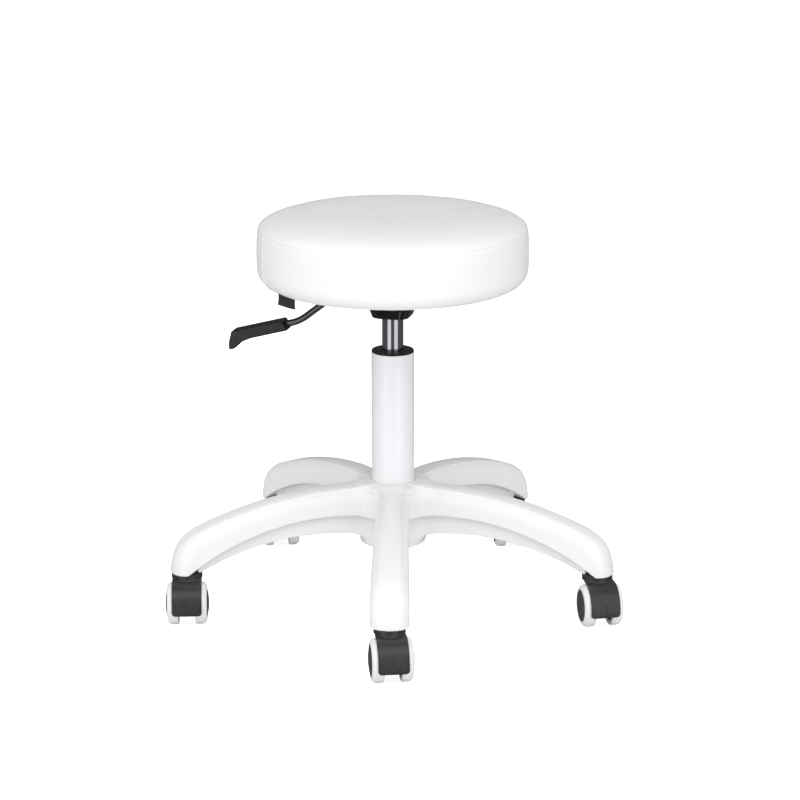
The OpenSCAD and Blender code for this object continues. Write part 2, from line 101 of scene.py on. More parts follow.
def finished(piece, body, slot, *nodes):
    """Paints the piece from its material slot and hangs it on its body, in place of the CAD nodes."""
    paint(piece, slot)
    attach(piece, body)
    if nodes:
        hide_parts(*nodes)


def moved(points, place):
    """The points carried by a matrix."""
    m = np.array(place)
    return np.asarray(points) @ m[:3, :3].T + m[:3, 3]


def unit(vectors):
    return vectors / np.linalg.norm(vectors, axis=1)[:, None]


def point_array(piece):
    return np.array([v.co for v in piece.data.vertices])


def grid_faces(rows, columns, wrap_rows=False, wrap_columns=False):
    """Quads of a grid whose points are numbered row by row."""
    i, j = np.meshgrid(np.arange(rows if wrap_rows else rows - 1),
                       np.arange(columns if wrap_columns else columns - 1), indexing="ij")
    i, j = i.ravel(), j.ravel()
    i2, j2 = (i + 1) % rows, (j + 1) % columns
    return np.stack([i * columns + j, i * columns + j2, i2 * columns + j2, i2 * columns + j], 1)


def baked(piece):
    """Stores what the piece's modifiers make in its mesh."""
    graph = bpy.context.evaluated_depsgraph_get()
    mesh = bpy.data.meshes.new_from_object(piece.evaluated_get(graph))
    piece.modifiers.clear()
    piece.data = mesh
    return piece


def cleaned(piece, weld=True):
    """Welds the points that meet on an axis, if asked, and turns every face outwards."""
    work = bmesh.new()
    work.from_mesh(piece.data)
    if weld:
        bmesh.ops.remove_doubles(work, verts=work.verts, dist=WELD_GAP)
        bmesh.ops.dissolve_degenerate(work, edges=work.edges, dist=WELD_GAP)
    bmesh.ops.recalc_face_normals(work, faces=work.faces)
    work.to_mesh(piece.data)
    work.free()
    return piece


def softened(outline, reach, closed=False):
    """The outline with each corner turned into a curve that starts `reach` before it."""
    points = [np.array(p, float) for p in outline]
    count = len(points)
    result = []
    for i, corner in enumerate(points):
        if not closed and i in (0, count - 1):
            result.append(corner)
            continue
        before, after = points[i - 1] - corner, points[(i + 1) % count] - corner
        back, ahead = np.linalg.norm(before), np.linalg.norm(after)
        cut = min(reach, SIDE_SHARE_USED * back, SIDE_SHARE_USED * ahead)
        start = corner + before / back * cut
        end = corner + after / ahead * cut
        result.append(start + (start - corner) * LEAD_IN)
        result += [start * (1 - t) ** 2 + corner * 2 * t * (1 - t) + end * t ** 2
                   for t in np.linspace(0, 1, CURVE_STEPS)]
        result.append(end + (end - corner) * LEAD_IN)
    return np.array(result)


def lathe(name, outline, segments=96, closed=False):
    """The (radius, height) outline turned about the Z axis."""
    outline = np.asarray(outline, float)
    turn = np.arange(segments) * 2 * math.pi / segments
    r, z = outline[:, 0][:, None], outline[:, 1][:, None]
    points = np.stack([r * np.cos(turn), r * np.sin(turn), z + 0 * turn], 2).reshape(-1, 3)
    faces = grid_faces(len(outline), segments, wrap_rows=closed, wrap_columns=True)
    return cleaned(mesh_object(name, points, faces))


def sweep(name, path, r, across, around):
    """A round bar with domed ends along a flat path. `across` is square to the path's plane."""
    along = unit(np.gradient(path, axis=0))
    rise_angles = np.linspace(0, math.pi / 2, DOME_RINGS, endpoint=False)
    dome = [(r * math.cos(a), r * math.sin(a)) for a in rise_angles]
    first, last = along[0], along[-1]
    stations = [(path[0] - first * rise, first, ring_r) for rise, ring_r in dome]
    stations += [(p, d, r) for p, d in zip(path, along)]
    stations += [(path[-1] + last * rise, last, ring_r) for rise, ring_r in dome[::-1]]
    turn = np.arange(around) * 2 * math.pi / around
    rings = [centre + ring_r * (np.outer(np.cos(turn), across)
                                + np.outer(np.sin(turn), np.cross(across, direction)))
             for centre, direction, ring_r in stations]
    faces = grid_faces(len(rings), around, wrap_columns=True)
    return cleaned(mesh_object(name, np.concatenate(rings), faces))


def joined(name, pieces):
    """One object made of several."""
    points, faces, start = [], [], 0
    for piece in pieces:
        points += [list(v.co) for v in piece.data.vertices]
        faces += [[start + i for i in p.vertices] for p in piece.data.polygons]
        start = len(points)
        bpy.data.objects.remove(piece)
    return mesh_object(name, points, faces)


# ---- Solids from distance fields
# A field is negative inside the solid. Its surface is netted on a grid, then each point is
# moved onto it exactly, so large soft fillets come out smooth.
CORNERS = np.array([(i, j, k) for i in (0, 1) for j in (0, 1) for k in (0, 1)])
CELL_EDGES = [(a, b) for a in range(8) for b in range(a + 1, 8)
              if abs(CORNERS[a] - CORNERS[b]).sum() == 1]
SURFACE_ROUNDS, SURFACE_MOVE = 4, 0.4
SLOPE_STEP, LEAST_SLOPE = 0.05, 0.1


def cut_round(a, b, r):
    """What lies in both a and b, with the outer edge between them rounded."""
    return np.minimum(np.maximum(a, b), -r) + np.hypot(np.maximum(a + r, 0), np.maximum(b + r, 0))


def join_round(a, b, r):
    """What lies in a or b, with the inner corner between them filled."""
    return -cut_round(-a, -b, r)


def between(value, low, high):
    """How far a value is outside the stretch from low to high, negative inside."""
    return np.abs(value - (low + high) / 2) - (high - low) / 2


def outline_distance(px, pz, outline):
    """Signed distance in a plane from a closed outline, negative inside."""
    nearest, inside = np.inf, False
    for (ax, az), (bx, bz) in zip(outline, outline[1:] + outline[:1]):
        ex, ez, wx, wz = bx - ax, bz - az, px - ax, pz - az
        t = np.clip((wx * ex + wz * ez) / (ex * ex + ez * ez), 0, 1)
        nearest = np.minimum(nearest, np.hypot(wx - ex * t, wz - ez * t))
        if ez:
            inside = inside ^ (((az > pz) != (bz > pz)) & (px < ex * (pz - az) / ez + ax))
    return np.where(inside, -nearest, nearest)


def netted(values, origin, step):
    """Points and quads of the surface where the grid of values changes sign."""
    inside = values < 0
    shape = tuple(n - 1 for n in inside.shape)
    filled = np.zeros(shape, np.uint8)
    for i, j, k in CORNERS:
        filled += inside[i:i + shape[0], j:j + shape[1], k:k + shape[2]]
    cells = np.argwhere((filled > 0) & (filled < 8))
    number = np.full(shape, -1, np.int64)
    number[tuple(cells.T)] = np.arange(len(cells))
    corner = np.stack([values[tuple((cells + c).T)] for c in CORNERS], 1).astype(float)
    total, count = np.zeros((len(cells), 3)), np.zeros(len(cells))
    for a, b in CELL_EDGES:
        crossed = (corner[:, a] < 0) != (corner[:, b] < 0)
        t = np.where(crossed, corner[:, a] / np.where(crossed, corner[:, a] - corner[:, b], 1), 0)
        total += crossed[:, None] * (CORNERS[a] + t[:, None] * (CORNERS[b] - CORNERS[a]))
        count += crossed
    points = origin + (cells + total / count[:, None]) * step
    quads = []
    for axis in range(3):
        b, c = np.roll(np.eye(3, dtype=int), -axis - 1, axis=0)[:2]
        size = inside.shape[axis]
        lower, upper = inside.take(range(size - 1), axis), inside.take(range(1, size), axis)
        edge = np.argwhere(lower != upper)
        edge = edge[((edge > 0) | (np.arange(3) == axis)).all(1) & (edge < shape).all(1)]
        quad = np.stack([number[tuple((edge - o).T)] for o in (0 * b, b, b + c, c)], 1)
        outwards = lower[tuple(edge.T)]
        quads.append(np.where(outwards[:, None], quad, quad[:, ::-1]))
    return points, np.concatenate(quads)


def field_slope(field, points, h):
    ahead = [field(*(points + h * axis).T) - field(*(points - h * axis).T) for axis in np.eye(3)]
    return np.stack(ahead, 1) / (2 * h)


def solid(name, field, low, high, step, place=Matrix.Identity(4)):
    """The solid of a field inside the box from low to high, as a mesh."""
    low, high = np.array(low, float), np.array(high, float)
    axes = [np.arange(a, b + step, step) for a, b in zip(low, high)]
    grid = [a.astype(np.float32) for a in np.meshgrid(*axes, indexing="ij", sparse=True)]
    points, quads = netted(np.broadcast_to(field(*grid), [len(a) for a in axes]), low, step)
    for _ in range(SURFACE_ROUNDS):
        value, slope = field(*points.T), field_slope(field, points, SLOPE_STEP * step)
        move = (value / np.maximum((slope ** 2).sum(1), LEAST_SLOPE))[:, None] * slope
        points -= np.clip(move, -SURFACE_MOVE * step, SURFACE_MOVE * step)
    slope = field_slope(field, points, SLOPE_STEP * step)
    normals = slope / np.maximum(np.linalg.norm(slope, axis=1), 1e-6)[:, None]
    turn = np.array(place)[:3, :3]
    return mesh_object(name, moved(points, place), quads, normals @ turn.T)


# ---- Star base
ARM_STEP = 2 * math.pi / 5
FRONT_ARM = -math.pi / 2
STEM_X = -joint("caster_1_swivel")["pos_m"][1]
TIP_BOTTOM_Z = 65.8 * mm
CREST_X, CREST_R, CREST_TOP_Z = 60 * mm, 530 * mm, 163 * mm
LIP_X, LIP_R, LIP_TOP_Z = 93 * mm, 330 * mm, 126.7 * mm
RIB_X, RIB_R, RIB_TOP_Z = 112 * mm, 335 * mm, 102.3 * mm
NOSE_R, NOSE_START_X = 78 * mm, 263 * mm
ROOT_HALF_W, TIP_HALF_W, ROOT_X = 20.4 * mm, 24.4 * mm, 70 * mm
ARM_ROUND = 18 * mm
ARM_WALL = 4 * mm
RIB_HALF_W, RIB_WALL = 13 * mm, 3 * mm
TIP_SOLID = 24 * mm
VALLEY, CORE_FILLET, RIM_FILLET = 22 * mm, 15 * mm, 5 * mm
HUB_R, HUB_ROUND = 43.3 * mm, 12 * mm
HUB_TOP_Z, HUB_BOTTOM_Z = 163.2 * mm, bottom("star_base") + 14.2 * mm
RIM_R, RIM_ROUND, RIM_Z = 33 * mm, 2.6 * mm, 161.6 * mm
SLEEVE_SEAT_Z = bottom("column_sleeve")
SOCKET_R, SOCKET_TOP_Z = 5.6 * mm, 98 * mm
EDGE = 1.2 * mm
BASE_GRID, BASE_MARGIN = 1.8 * mm, 3 * mm


def arc_distance(u, z, arc_x, arc_r, arc_top_z):
    """Distance outwards from an arc whose highest point is at (arc_x, arc_top_z)."""
    return np.hypot(u - arc_x, z - (arc_top_z - arc_r)) - arc_r


def crest(u, z):
    return arc_distance(u, z, CREST_X, CREST_R, CREST_TOP_Z)


def crest_and_nose(u, z):
    """The crest's arc runs smoothly on into the smaller arc of the nose."""
    run = NOSE_START_X - CREST_X
    rise = math.sqrt(CREST_R ** 2 - run ** 2)
    share = (CREST_R - NOSE_R) / CREST_R
    nose_x, nose_z = CREST_X + run * share, CREST_TOP_Z - CREST_R + rise * share
    past = (u - nose_x) * rise > (z - nose_z) * run
    return np.where(past, np.hypot(u - nose_x, z - nose_z) - NOSE_R, crest(u, z))


def arm_solid(u, v, z):
    half = ROOT_HALF_W + (TIP_HALF_W - ROOT_HALF_W) * np.clip((u - ROOT_X) / (STEM_X - ROOT_X), 0, 1)
    side = np.where(u > STEM_X, np.hypot(u - STEM_X, v) - TIP_HALF_W, v - half)
    return cut_round(crest_and_nose(u, z), side, ARM_ROUND)


def arm_frame(x, y):
    """Distance from the column, then along and across the nearest arm."""
    turn = np.mod(np.arctan2(y, x) - FRONT_ARM + ARM_STEP / 2, ARM_STEP) - ARM_STEP / 2
    out = np.hypot(x, y)
    return out, out * np.cos(turn), np.abs(out * np.sin(turn))


def base_shell(out, u, v, z):
    """Hollow arms that run into each other and into the hub, open below the lip's arc."""
    c, s = math.cos(ARM_STEP), math.sin(ARM_STEP)
    arms = join_round(arm_solid(u, v, z), arm_solid(u * c + v * s, np.abs(u * s - v * c), z), VALLEY)
    hub = cut_round(out - HUB_R, z - HUB_TOP_Z + EDGE, HUB_ROUND)
    skin = cut_round(join_round(arms, hub, VALLEY), z - HUB_TOP_Z, 2 * EDGE)
    hollow = np.maximum(skin + ARM_WALL, u - STEM_X + TIP_SOLID)
    return cut_round(np.maximum(skin, -hollow), -arc_distance(u, z, LIP_X, LIP_R, LIP_TOP_Z), EDGE)


def base_ribs(u, v, z):
    """A channel along the middle of each arm, open below."""
    tip = u - STEM_X + TIP_SOLID / 2
    rib = np.maximum(v - RIB_HALF_W, np.maximum(crest(u, z) + ARM_WALL / 2, tip))
    roof = np.maximum(crest(u, z) + 2 * ARM_WALL, tip + TIP_SOLID / 2)
    channel = np.maximum(v - RIB_HALF_W + RIB_WALL, roof)
    return cut_round(np.maximum(rib, -channel), -arc_distance(u, z, RIB_X, RIB_R, RIB_TOP_Z), EDGE)


def base_field(x, y, z):
    out, u, v = arm_frame(x, y)
    hub = cut_round(out - HUB_R, between(z, HUB_BOTTOM_Z, HUB_TOP_Z) + EDGE, EDGE)
    core = join_round(hub, base_ribs(u, v, z), CORE_FILLET)
    body = join_round(base_shell(out, u, v, z), core, 2 * EDGE)
    body = cut_round(body, TIP_BOTTOM_Z - z, EDGE)
    body = join_round(body, np.hypot(out - RIM_R, z - RIM_Z) - RIM_ROUND, RIM_FILLET)
    sleeve = np.maximum(out - radius("column_sleeve"), SLEEVE_SEAT_Z - z)
    column = out - radius("column_tube")
    socket = np.maximum(np.hypot(u - STEM_X, v) - SOCKET_R, z - SOCKET_TOP_Z)
    body = cut_round(body, -np.minimum(sleeve, column), EDGE / 2)
    return np.maximum(body, -socket)


def star_base():
    low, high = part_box("star_base")
    margin = Vector((BASE_MARGIN, BASE_MARGIN, BASE_MARGIN))
    base = solid("star_base_skin", base_field, low - margin, high + margin, BASE_GRID)
    finished(base, "base", "base_nylon", "star_base")


# ---- Column and gas lift
SLEEVE_WALL, SLEEVE_EDGE = 1.5 * mm, 0.6 * mm
CAP_T, CAP_RISE, CAP_SLOPE_W, CAP_EDGE, CAP_GAP = 2.4 * mm, 1.2 * mm, 3 * mm, 0.9 * mm, 0.35 * mm
LIFT_BORE_R, LIFT_PLUG_H, LIFT_EDGE = 12.2 * mm, 13 * mm, 0.8 * mm
LIFT_TAPER_H, LIFT_TAPER_IN = 19 * mm, 0.35 * mm
VALVE_BORE_R = 4.1 * mm


def ring_piece(node, outline, edge, body, slot):
    """A piece turned from a closed section with softened edges."""
    finished(lathe(node + "_skin", softened(outline, edge, closed=True), closed=True), body, slot, node)


def column_sleeve():
    r, low, high = radius("column_sleeve"), bottom("column_sleeve"), top("column_sleeve")
    outline = [(r - SLEEVE_WALL, low), (r, low), (r, high), (r - SLEEVE_WALL, high)]
    ring_piece("column_sleeve", outline, SLEEVE_EDGE, "base", "sleeve_white")


def column_cap():
    bore, skirt = radius("pressure_tube") + CAP_GAP, radius("column_sleeve") - SLEEVE_WALL
    edge_r, edge_z, low = radius("column_cap"), top("column_sleeve"), bottom("column_cap")
    peak = edge_z + CAP_T + CAP_RISE
    outline = [(bore, low), (skirt, low), (skirt, edge_z), (edge_r, edge_z),
               (edge_r, edge_z + CAP_T), (bore + CAP_SLOPE_W, peak), (bore, peak)]
    ring_piece("column_cap", outline, CAP_EDGE, "base", "black_plastic")


def pressure_tube():
    r, low, high = radius("pressure_tube"), bottom("pressure_tube"), top("pressure_tube")
    plug_z = high - LIFT_PLUG_H
    outline = [(LIFT_BORE_R, low), (r, low), (r, high - LIFT_TAPER_H), (r - LIFT_TAPER_IN, high),
               (VALVE_BORE_R, high), (VALVE_BORE_R, plug_z), (LIFT_BORE_R, plug_z)]
    ring_piece("pressure_tube", outline, LIFT_EDGE, "seat", "bright_steel")


# ---- Mechanism
PIVOT = joint("lever_lift")["pos_m"]
lever_place = turn_about_z(math.degrees(math.atan2(PIVOT[1], PIVOT[0])))
CUP_ROUND, CUP_EDGE = 3 * mm, 0.8 * mm
CUP_BOTTOM_R, CUP_SHOULDER_R, CUP_TOP_R = 25.2 * mm, 29 * mm, 32 * mm
CUP_SHOULDER_H, CUP_DROP = 14 * mm, 2 * mm
CUP_CAVITY_R = 22 * mm
SLOT_HALF_W = 6.5 * mm
PLATE_HALF_W, PLATE_T, PLATE_CORNER, PLATE_EDGE = 80 * mm, 3 * mm, 14 * mm, 0.8 * mm
CUP_GRID, CUP_MARGIN = mm, 4 * mm


def cup_field(x, y, z):
    """Squarish cup for the lift's taper, with a cavity for the lever and a slot that it leaves by."""
    low, seat_z = bottom("mechanism_housing") - CUP_DROP, top("pressure_tube")
    plate_z = top("mechanism_housing") - PLATE_T
    out = np.hypot(x, y)
    r = CUP_ROUND
    outline = [(-2 * r, low + r), (CUP_BOTTOM_R - r, low + r),
               (CUP_SHOULDER_R - r, low + CUP_SHOULDER_H), (CUP_TOP_R - r, plate_z), (-2 * r, plate_z)]
    cup = outline_distance((x ** 4 + y ** 4) ** 0.25, z, outline) - r
    cup = np.maximum(cup, z - plate_z - PLATE_T / 2)
    cavity = np.maximum(out - CUP_CAVITY_R, seat_z - z)
    slot = np.maximum(np.maximum(np.abs(y) - SLOT_HALF_W, -x), seat_z - z)
    openings = np.minimum(np.minimum(cavity, slot), out - radius("pressure_tube"))
    return cut_round(cup, -openings, CUP_EDGE)


def mechanism_plate():
    """Square plate under the seat board, with rounded corners and softened edges."""
    high = top("mechanism_housing")
    low, edge, bevel = high - PLATE_T, PLATE_EDGE, 0.3 * PLATE_EDGE
    turn = np.linspace(0, math.pi / 2, 9)
    quarters = [np.stack([np.cos(turn + q), np.sin(turn + q)], 1) for q in np.arange(4) * math.pi / 2]
    ring = np.concatenate(quarters)
    corners = np.array([(1, 1), (-1, 1), (-1, -1), (1, -1)]) * (PLATE_HALF_W - PLATE_CORNER)
    centre = np.repeat(corners, len(turn), axis=0)
    rings = [np.column_stack([centre + ring * (PLATE_CORNER - inset), np.full(len(ring), z)])
             for inset, z in ((edge, low), (bevel, low + bevel), (0, low + edge),
                              (0, high - edge), (bevel, high - bevel), (edge, high))]
    faces = grid_faces(len(rings), len(ring), wrap_columns=True).tolist()
    faces += [list(range(len(ring)))[::-1], list(range(5 * len(ring), 6 * len(ring)))]
    plate = cleaned(mesh_object("mechanism_plate", moved(np.concatenate(rings), lever_place), faces))
    finished(plate, "seat", "mechanism_black")


def mechanism_cup():
    low, high, side = bottom("mechanism_housing"), top("mechanism_housing"), CUP_TOP_R + CUP_MARGIN
    cup = solid("mechanism_cup", cup_field, (-side, -side, low - CUP_MARGIN), (side, side, high + mm),
                CUP_GRID, lever_place)
    finished(cup, "seat", "mechanism_black", "mechanism_housing")


# ---- Lever
ROD_R, ROD_START_X, ROD_Z, ROD_STEP = 4.5 * mm, -8 * mm, PIVOT[2], mm
ROD_LEVEL, ROD_SLOPE, ROD_TAIL = 50.4 * mm, 43 * mm, 38 * mm
BEND_R, BACK_BEND_R = 66 * mm, 55 * mm
BEND, DROP = math.radians(38), math.radians(15)
GRIP_START, GRIP_LEN, GRIP_HALF_W, GRIP_HALF_H = 9 * mm, 80 * mm, 12.5 * mm, 7.25 * mm
GRIP_HEEL, GRIP_LIP = 4 * mm, 9 * mm
SLANT_TOP, SLANT_FOOT, SLANT_DROP = 9 * mm, 2.4 * mm, 1.5 * mm
LIP_FRONT, LIP_REAR = 0.3 * mm, 5 * mm
CURL_START, CURL_END, CURL_DROP = 31.5 * mm, 16.5 * mm, 2.3 * mm
GRIP_ROUND = 2 * mm
COLLAR_R, COLLAR_L, COLLAR_EDGE, COLLAR_FILLET = 5.9 * mm, 4 * mm, mm, 1.5 * mm
GRIP_GRID = 0.7 * mm
GRIP_LOW, GRIP_HIGH = (-8 * mm, -15 * mm, -20 * mm), (GRIP_LEN + 4 * mm, 15 * mm, 10 * mm)


def rod_path():
    """Points of the lever's centre line in its upright plane, as (along, up), and the last heading."""
    stretches = [(ROD_LEVEL, 0), (BEND_R * BEND, -BEND), (ROD_SLOPE, 0),
                 (BACK_BEND_R * (BEND - DROP), BEND - DROP), (ROD_TAIL, 0)]
    at, heading, path = np.array([ROD_START_X, ROD_Z]), 0.0, []
    for length, bend in stretches:
        count = round(length / ROD_STEP)
        tail = at
        for _ in range(count):
            path.append(at)
            middle = heading + bend / count / 2
            at = at + length / count * np.array([math.cos(middle), math.sin(middle)])
            heading += bend / count
    return np.array(path + [at]), tail, heading


def lever_rod():
    path, _, _ = rod_path()
    points = moved(np.column_stack([path[:, 0], 0 * path[:, 0], path[:, 1]]), lever_place)
    rod = sweep("lever_rod_bar", points, ROD_R, moved([(0, 1, 0)], lever_place)[0], around=32)
    finished(rod, "lever", "lever_black", "lever_rod")


def grip_field(x, y, z):
    """Paddle along +X with a slanted end, a lip that turns down, and a collar where the rod enters."""
    h, r, end = GRIP_HALF_H - GRIP_ROUND, GRIP_ROUND, GRIP_LEN
    outline = [(r - GRIP_HEEL, -h), (r, h), (end - SLANT_TOP, h), (end - SLANT_FOOT, -h - SLANT_DROP),
               (end - LIP_FRONT, -h - GRIP_LIP), (end - LIP_REAR, -h - GRIP_LIP),
               (end - CURL_END, -h - CURL_DROP), (end - CURL_START, -h)]
    paddle = cut_round(outline_distance(x, z, outline) - r, np.abs(y) - GRIP_HALF_W, GRIP_ROUND)
    collar = cut_round(np.hypot(y, z) - COLLAR_R, np.abs(x) - COLLAR_L, COLLAR_EDGE)
    return join_round(paddle, collar, COLLAR_FILLET)


def lever_grip():
    _, tail, heading = rod_path()
    place = (lever_place @ Matrix.Translation((tail[0], 0, tail[1]))
             @ Matrix.Rotation(-heading, 4, "Y") @ Matrix.Translation((GRIP_START, 0, 0)))
    grip = solid("lever_grip_paddle", grip_field, GRIP_LOW, GRIP_HIGH, GRIP_GRID, place)
    finished(grip, "lever", "grip_black", "lever_grip")


# ---- Casters
WHEEL_R = joint("caster_1_left_spin")["pos_m"][2]
HOOD_IN_R, HOOD_OUT_R, HOOD_HALF_W = WHEEL_R + 1.2 * mm, WHEEL_R + 3.2 * mm, 19.25 * mm
HOOD_LOW, HOOD_HIGH = math.radians(-16), math.radians(112)
HOOD_CORNER, HOOD_EDGE = 5 * mm, 0.7 * mm
NOTCH_UP, NOTCH_HALF_W, NOTCH_DEPTH, NOTCH_EDGE = 6.5 * mm, 0.95 * mm, 0.9 * mm, 0.3 * mm
NOTCH_SQUASH, NOTCH_TAPER = 0.19, 0.1
NECK_R, NECK_LOW_Z, NECK_TOP_Z = 20 * mm, 57 * mm, TIP_BOTTOM_Z - 0.3 * mm
NECK_EDGE, NECK_FILLET = 1.2 * mm, 2.5 * mm
BOSS_R, STEM_BORE_R, STEM_BORE_LOW_Z = 9.6 * mm, 5.26 * mm, 40.5 * mm
WEB_HALF_W, HUB_DISC_R, HUB_DISC_HALF_W = 4 * mm, 15.5 * mm, 5 * mm
AXLE_BOSS_R, AXLE_BORE_R, AXLE_BOSS_GAP, AXLE_BOSS_EDGE = 8 * mm, 4.02 * mm, 0.4 * mm, 0.6 * mm
HOUSING_LOW, HOUSING_HIGH = (-22 * mm, -50 * mm, 0), (22 * mm, 22 * mm, 68 * mm)
HOUSING_GRID = 0.75 * mm
WHEEL_GAP = 21.6 * mm
TREAD_W, TREAD_IN_R, TREAD_INSET = 15 * mm, 20.92 * mm, 0.1 * mm
SHOULDER_R, INNER_SHOULDER_R = 6.5 * mm, 2 * mm
CORE_R, CORE_WALL, CORE_HUB_R, CORE_EDGE = 20.9 * mm, 2 * mm, 7.5 * mm, 0.5 * mm
CORE_BORE_R, CORE_BORE_L, CORE_INSET = 4.06 * mm, 13.7 * mm, 0.6 * mm
DISC_S, DISC_T, DISC_RIM, DISC_STEP, DOME_H = 11.5 * mm, 3 * mm, 1.6 * mm, 0.2 * mm, 2.9 * mm
stem_at, axle_at = (Vector(joint("caster_1_" + end)["pos_m"]) for end in ("swivel", "left_spin"))
AXLE_Y = -(axle_at - stem_at).to_2d().length


def hood_skin(x, around, up, sector):
    """The curved sheet over the wheels, with a narrow notch in the middle of its lower part."""
    face = cut_round(np.abs(x) - HOOD_HALF_W, sector, HOOD_CORNER)
    hood = cut_round(between(around, HOOD_IN_R, HOOD_OUT_R), face, HOOD_EDGE)
    notch = np.hypot(x, NOTCH_SQUASH * up) - NOTCH_HALF_W + NOTCH_TAPER * up
    return cut_round(hood, -np.maximum(notch, HOOD_OUT_R - NOTCH_DEPTH - around), NOTCH_EDGE)


def housing_field(x, y, z):
    """Hood over the wheels towards -Y, neck under the arm, and the web between the wheels."""
    forwards, up = AXLE_Y - y, z - WHEEL_R
    around, out = np.hypot(forwards, up), np.hypot(x, y)
    below = math.sin(HOOD_LOW) * forwards - math.cos(HOOD_LOW) * up
    beyond = -math.sin(HOOD_HIGH) * forwards + math.cos(HOOD_HIGH) * up
    sector = np.maximum(below, beyond)
    hood = hood_skin(x, around, up - NOTCH_UP, sector)
    neck = cut_round(out - NECK_R, between(z, NECK_LOW_Z, NECK_TOP_Z), NECK_EDGE)
    boss = np.maximum(out - BOSS_R, between(z, WHEEL_R, NECK_TOP_Z) + mm)
    web = np.maximum(np.maximum(np.abs(x) - WEB_HALF_W, around - HOOD_IN_R - mm), sector)
    hub_disc = cut_round(around - HUB_DISC_R, np.abs(x) - HUB_DISC_HALF_W, mm)
    boss_end = np.abs(x) - WHEEL_GAP / 2 + AXLE_BOSS_GAP
    axle_boss = cut_round(around - AXLE_BOSS_R, boss_end, AXLE_BOSS_EDGE)
    body = join_round(hood, neck, NECK_FILLET)
    for part in (boss, web, hub_disc, axle_boss):
        body = join_round(body, part, mm)
    stem = np.maximum(out - STEM_BORE_R, STEM_BORE_LOW_Z - z)
    return np.maximum(body, -np.minimum(stem, around - AXLE_BORE_R))


def arc(cx, cy, r, start, end, steps):
    """Points of an arc, angles in degrees."""
    turn = np.radians(np.linspace(start, end, steps))
    return [(cx + r * math.cos(a), cy + r * math.sin(a)) for a in turn]


def tread_outline():
    inner = arc(WHEEL_R - INNER_SHOULDER_R, INNER_SHOULDER_R, INNER_SHOULDER_R, -90, 0, 7)
    outer = arc(WHEEL_R - SHOULDER_R, TREAD_W - SHOULDER_R, SHOULDER_R, 0, 90, 15)
    return [(TREAD_IN_R, TREAD_INSET)] + inner + outer + [(TREAD_IN_R, TREAD_W - TREAD_INSET)]


def core_outline():
    face = DISC_S + DISC_T
    ball = (CORE_R ** 2 + DOME_H ** 2) / (2 * DOME_H)
    half = math.degrees(math.asin((CORE_R - DISC_RIM) / ball))
    dome = arc(0, face + DOME_H - ball, ball, 90 - half, 90, 14)
    inside = [(0, CORE_BORE_L), (CORE_BORE_R, CORE_BORE_L), (CORE_BORE_R, 0), (CORE_HUB_R, 0),
              (CORE_HUB_R, DISC_S), (CORE_R - CORE_WALL, DISC_S), (CORE_R - CORE_WALL, CORE_INSET),
              (CORE_R, CORE_INSET), (CORE_R, face - DISC_STEP), dome[0]]
    return np.concatenate([softened(inside, CORE_EDGE)[:-1], dome])


def caster_place(i):
    """Frame of caster i: stem axis at the origin on the floor, hood towards -Y, axle along X."""
    stem, axle = joint(f"caster_{i}_swivel")["pos_m"], Vector(joint(f"caster_{i}_left_spin")["axis"])
    place = Matrix((axle, Vector((0, 0, 1)).cross(axle), (0, 0, 1))).transposed().to_4x4()
    return Matrix.Translation((stem[0], stem[1], 0)) @ place


def copied(piece, name, place):
    """The piece's mesh again, stored in another place."""
    mesh = piece.data.copy()
    mesh.transform(place)
    return linked(name, mesh)


def casters():
    housing = solid("housing", housing_field, HOUSING_LOW, HOUSING_HIGH, HOUSING_GRID)
    tread = lathe("tread", tread_outline(), closed=True, segments=128)
    core = lathe("core", core_outline())
    for i in range(1, 6):
        place = caster_place(i)
        shell = copied(housing, f"caster_{i}_hood", place)
        finished(shell, f"caster_{i}", "hood_plastic", f"caster_{i}_housing")
        for side, angle in (("left", -90), ("right", 90)):
            facing = Matrix.Rotation(math.radians(angle), 4, "Y")
            wheel = (place @ Matrix.Translation((0, AXLE_Y, WHEEL_R)) @ facing
                     @ Matrix.Translation((0, 0, WHEEL_GAP / 2)))
            body = f"caster_{i}_{side}"
            finished(copied(tread, body + "_tyre", wheel), body, "tread_white", body + "_tread")
            finished(copied(core, body + "_disc", wheel), body, "wheel_core", body + "_wheel")
    for pattern in (housing, tread, core):
        bpy.data.objects.remove(pattern)


# ---- Seat cushion
TOP_CELLS, EDGE_GATHER = 46, 0.12
SEAT_R = radius("seat_cover")
SEAT_LOW_Z = bottom("seat_cover")
FOLD_R = 20.7 * mm
SEAM_Z, SEAM_R = 503.1 * mm, SEAT_R - 1.2 * mm
CROWN, CROWN_POWER = 22.0 * mm, 5.18
SIDE_BULGE = 0.8 * mm
FLAP_R = 130 * mm
SIDE_RINGS, FOLD_RINGS, FLAP_RINGS = 9, 6, 4
SEAM_HALF_W, SEAM_DEPTH = 1.5 * mm, 1.9 * mm
JOIN_AZIMUTH, JOIN_HALF_W, JOIN_DEPTH = math.radians(201.5), 1.5 * mm, 1.1 * mm
JOIN_GATHER, JOIN_REACH, JOIN_IN, JOIN_FADE = 0.73, math.radians(4), 0.72, 0.2
RIDGE_OUT, RIDGE_HALF_W, RIDGE_SHARE, RIDGE_FADE = 3.5 * mm, 2.2 * mm, 0.5, 3 * mm
START_INSET, SIDE_SHARE = 1.2 * mm, 0.25
SWELL_LIMIT, SMOOTHING, PINNED_RINGS = 1.8 * mm, 16, 3
PRESSURE, CLOTH_FRAMES, CLOTH_STEPS = 4, 20, 4
PADDING_DEPTH = 0.35 * mm
PADDING_SIZES = ((23, 27), (14, 17), (11, 31))


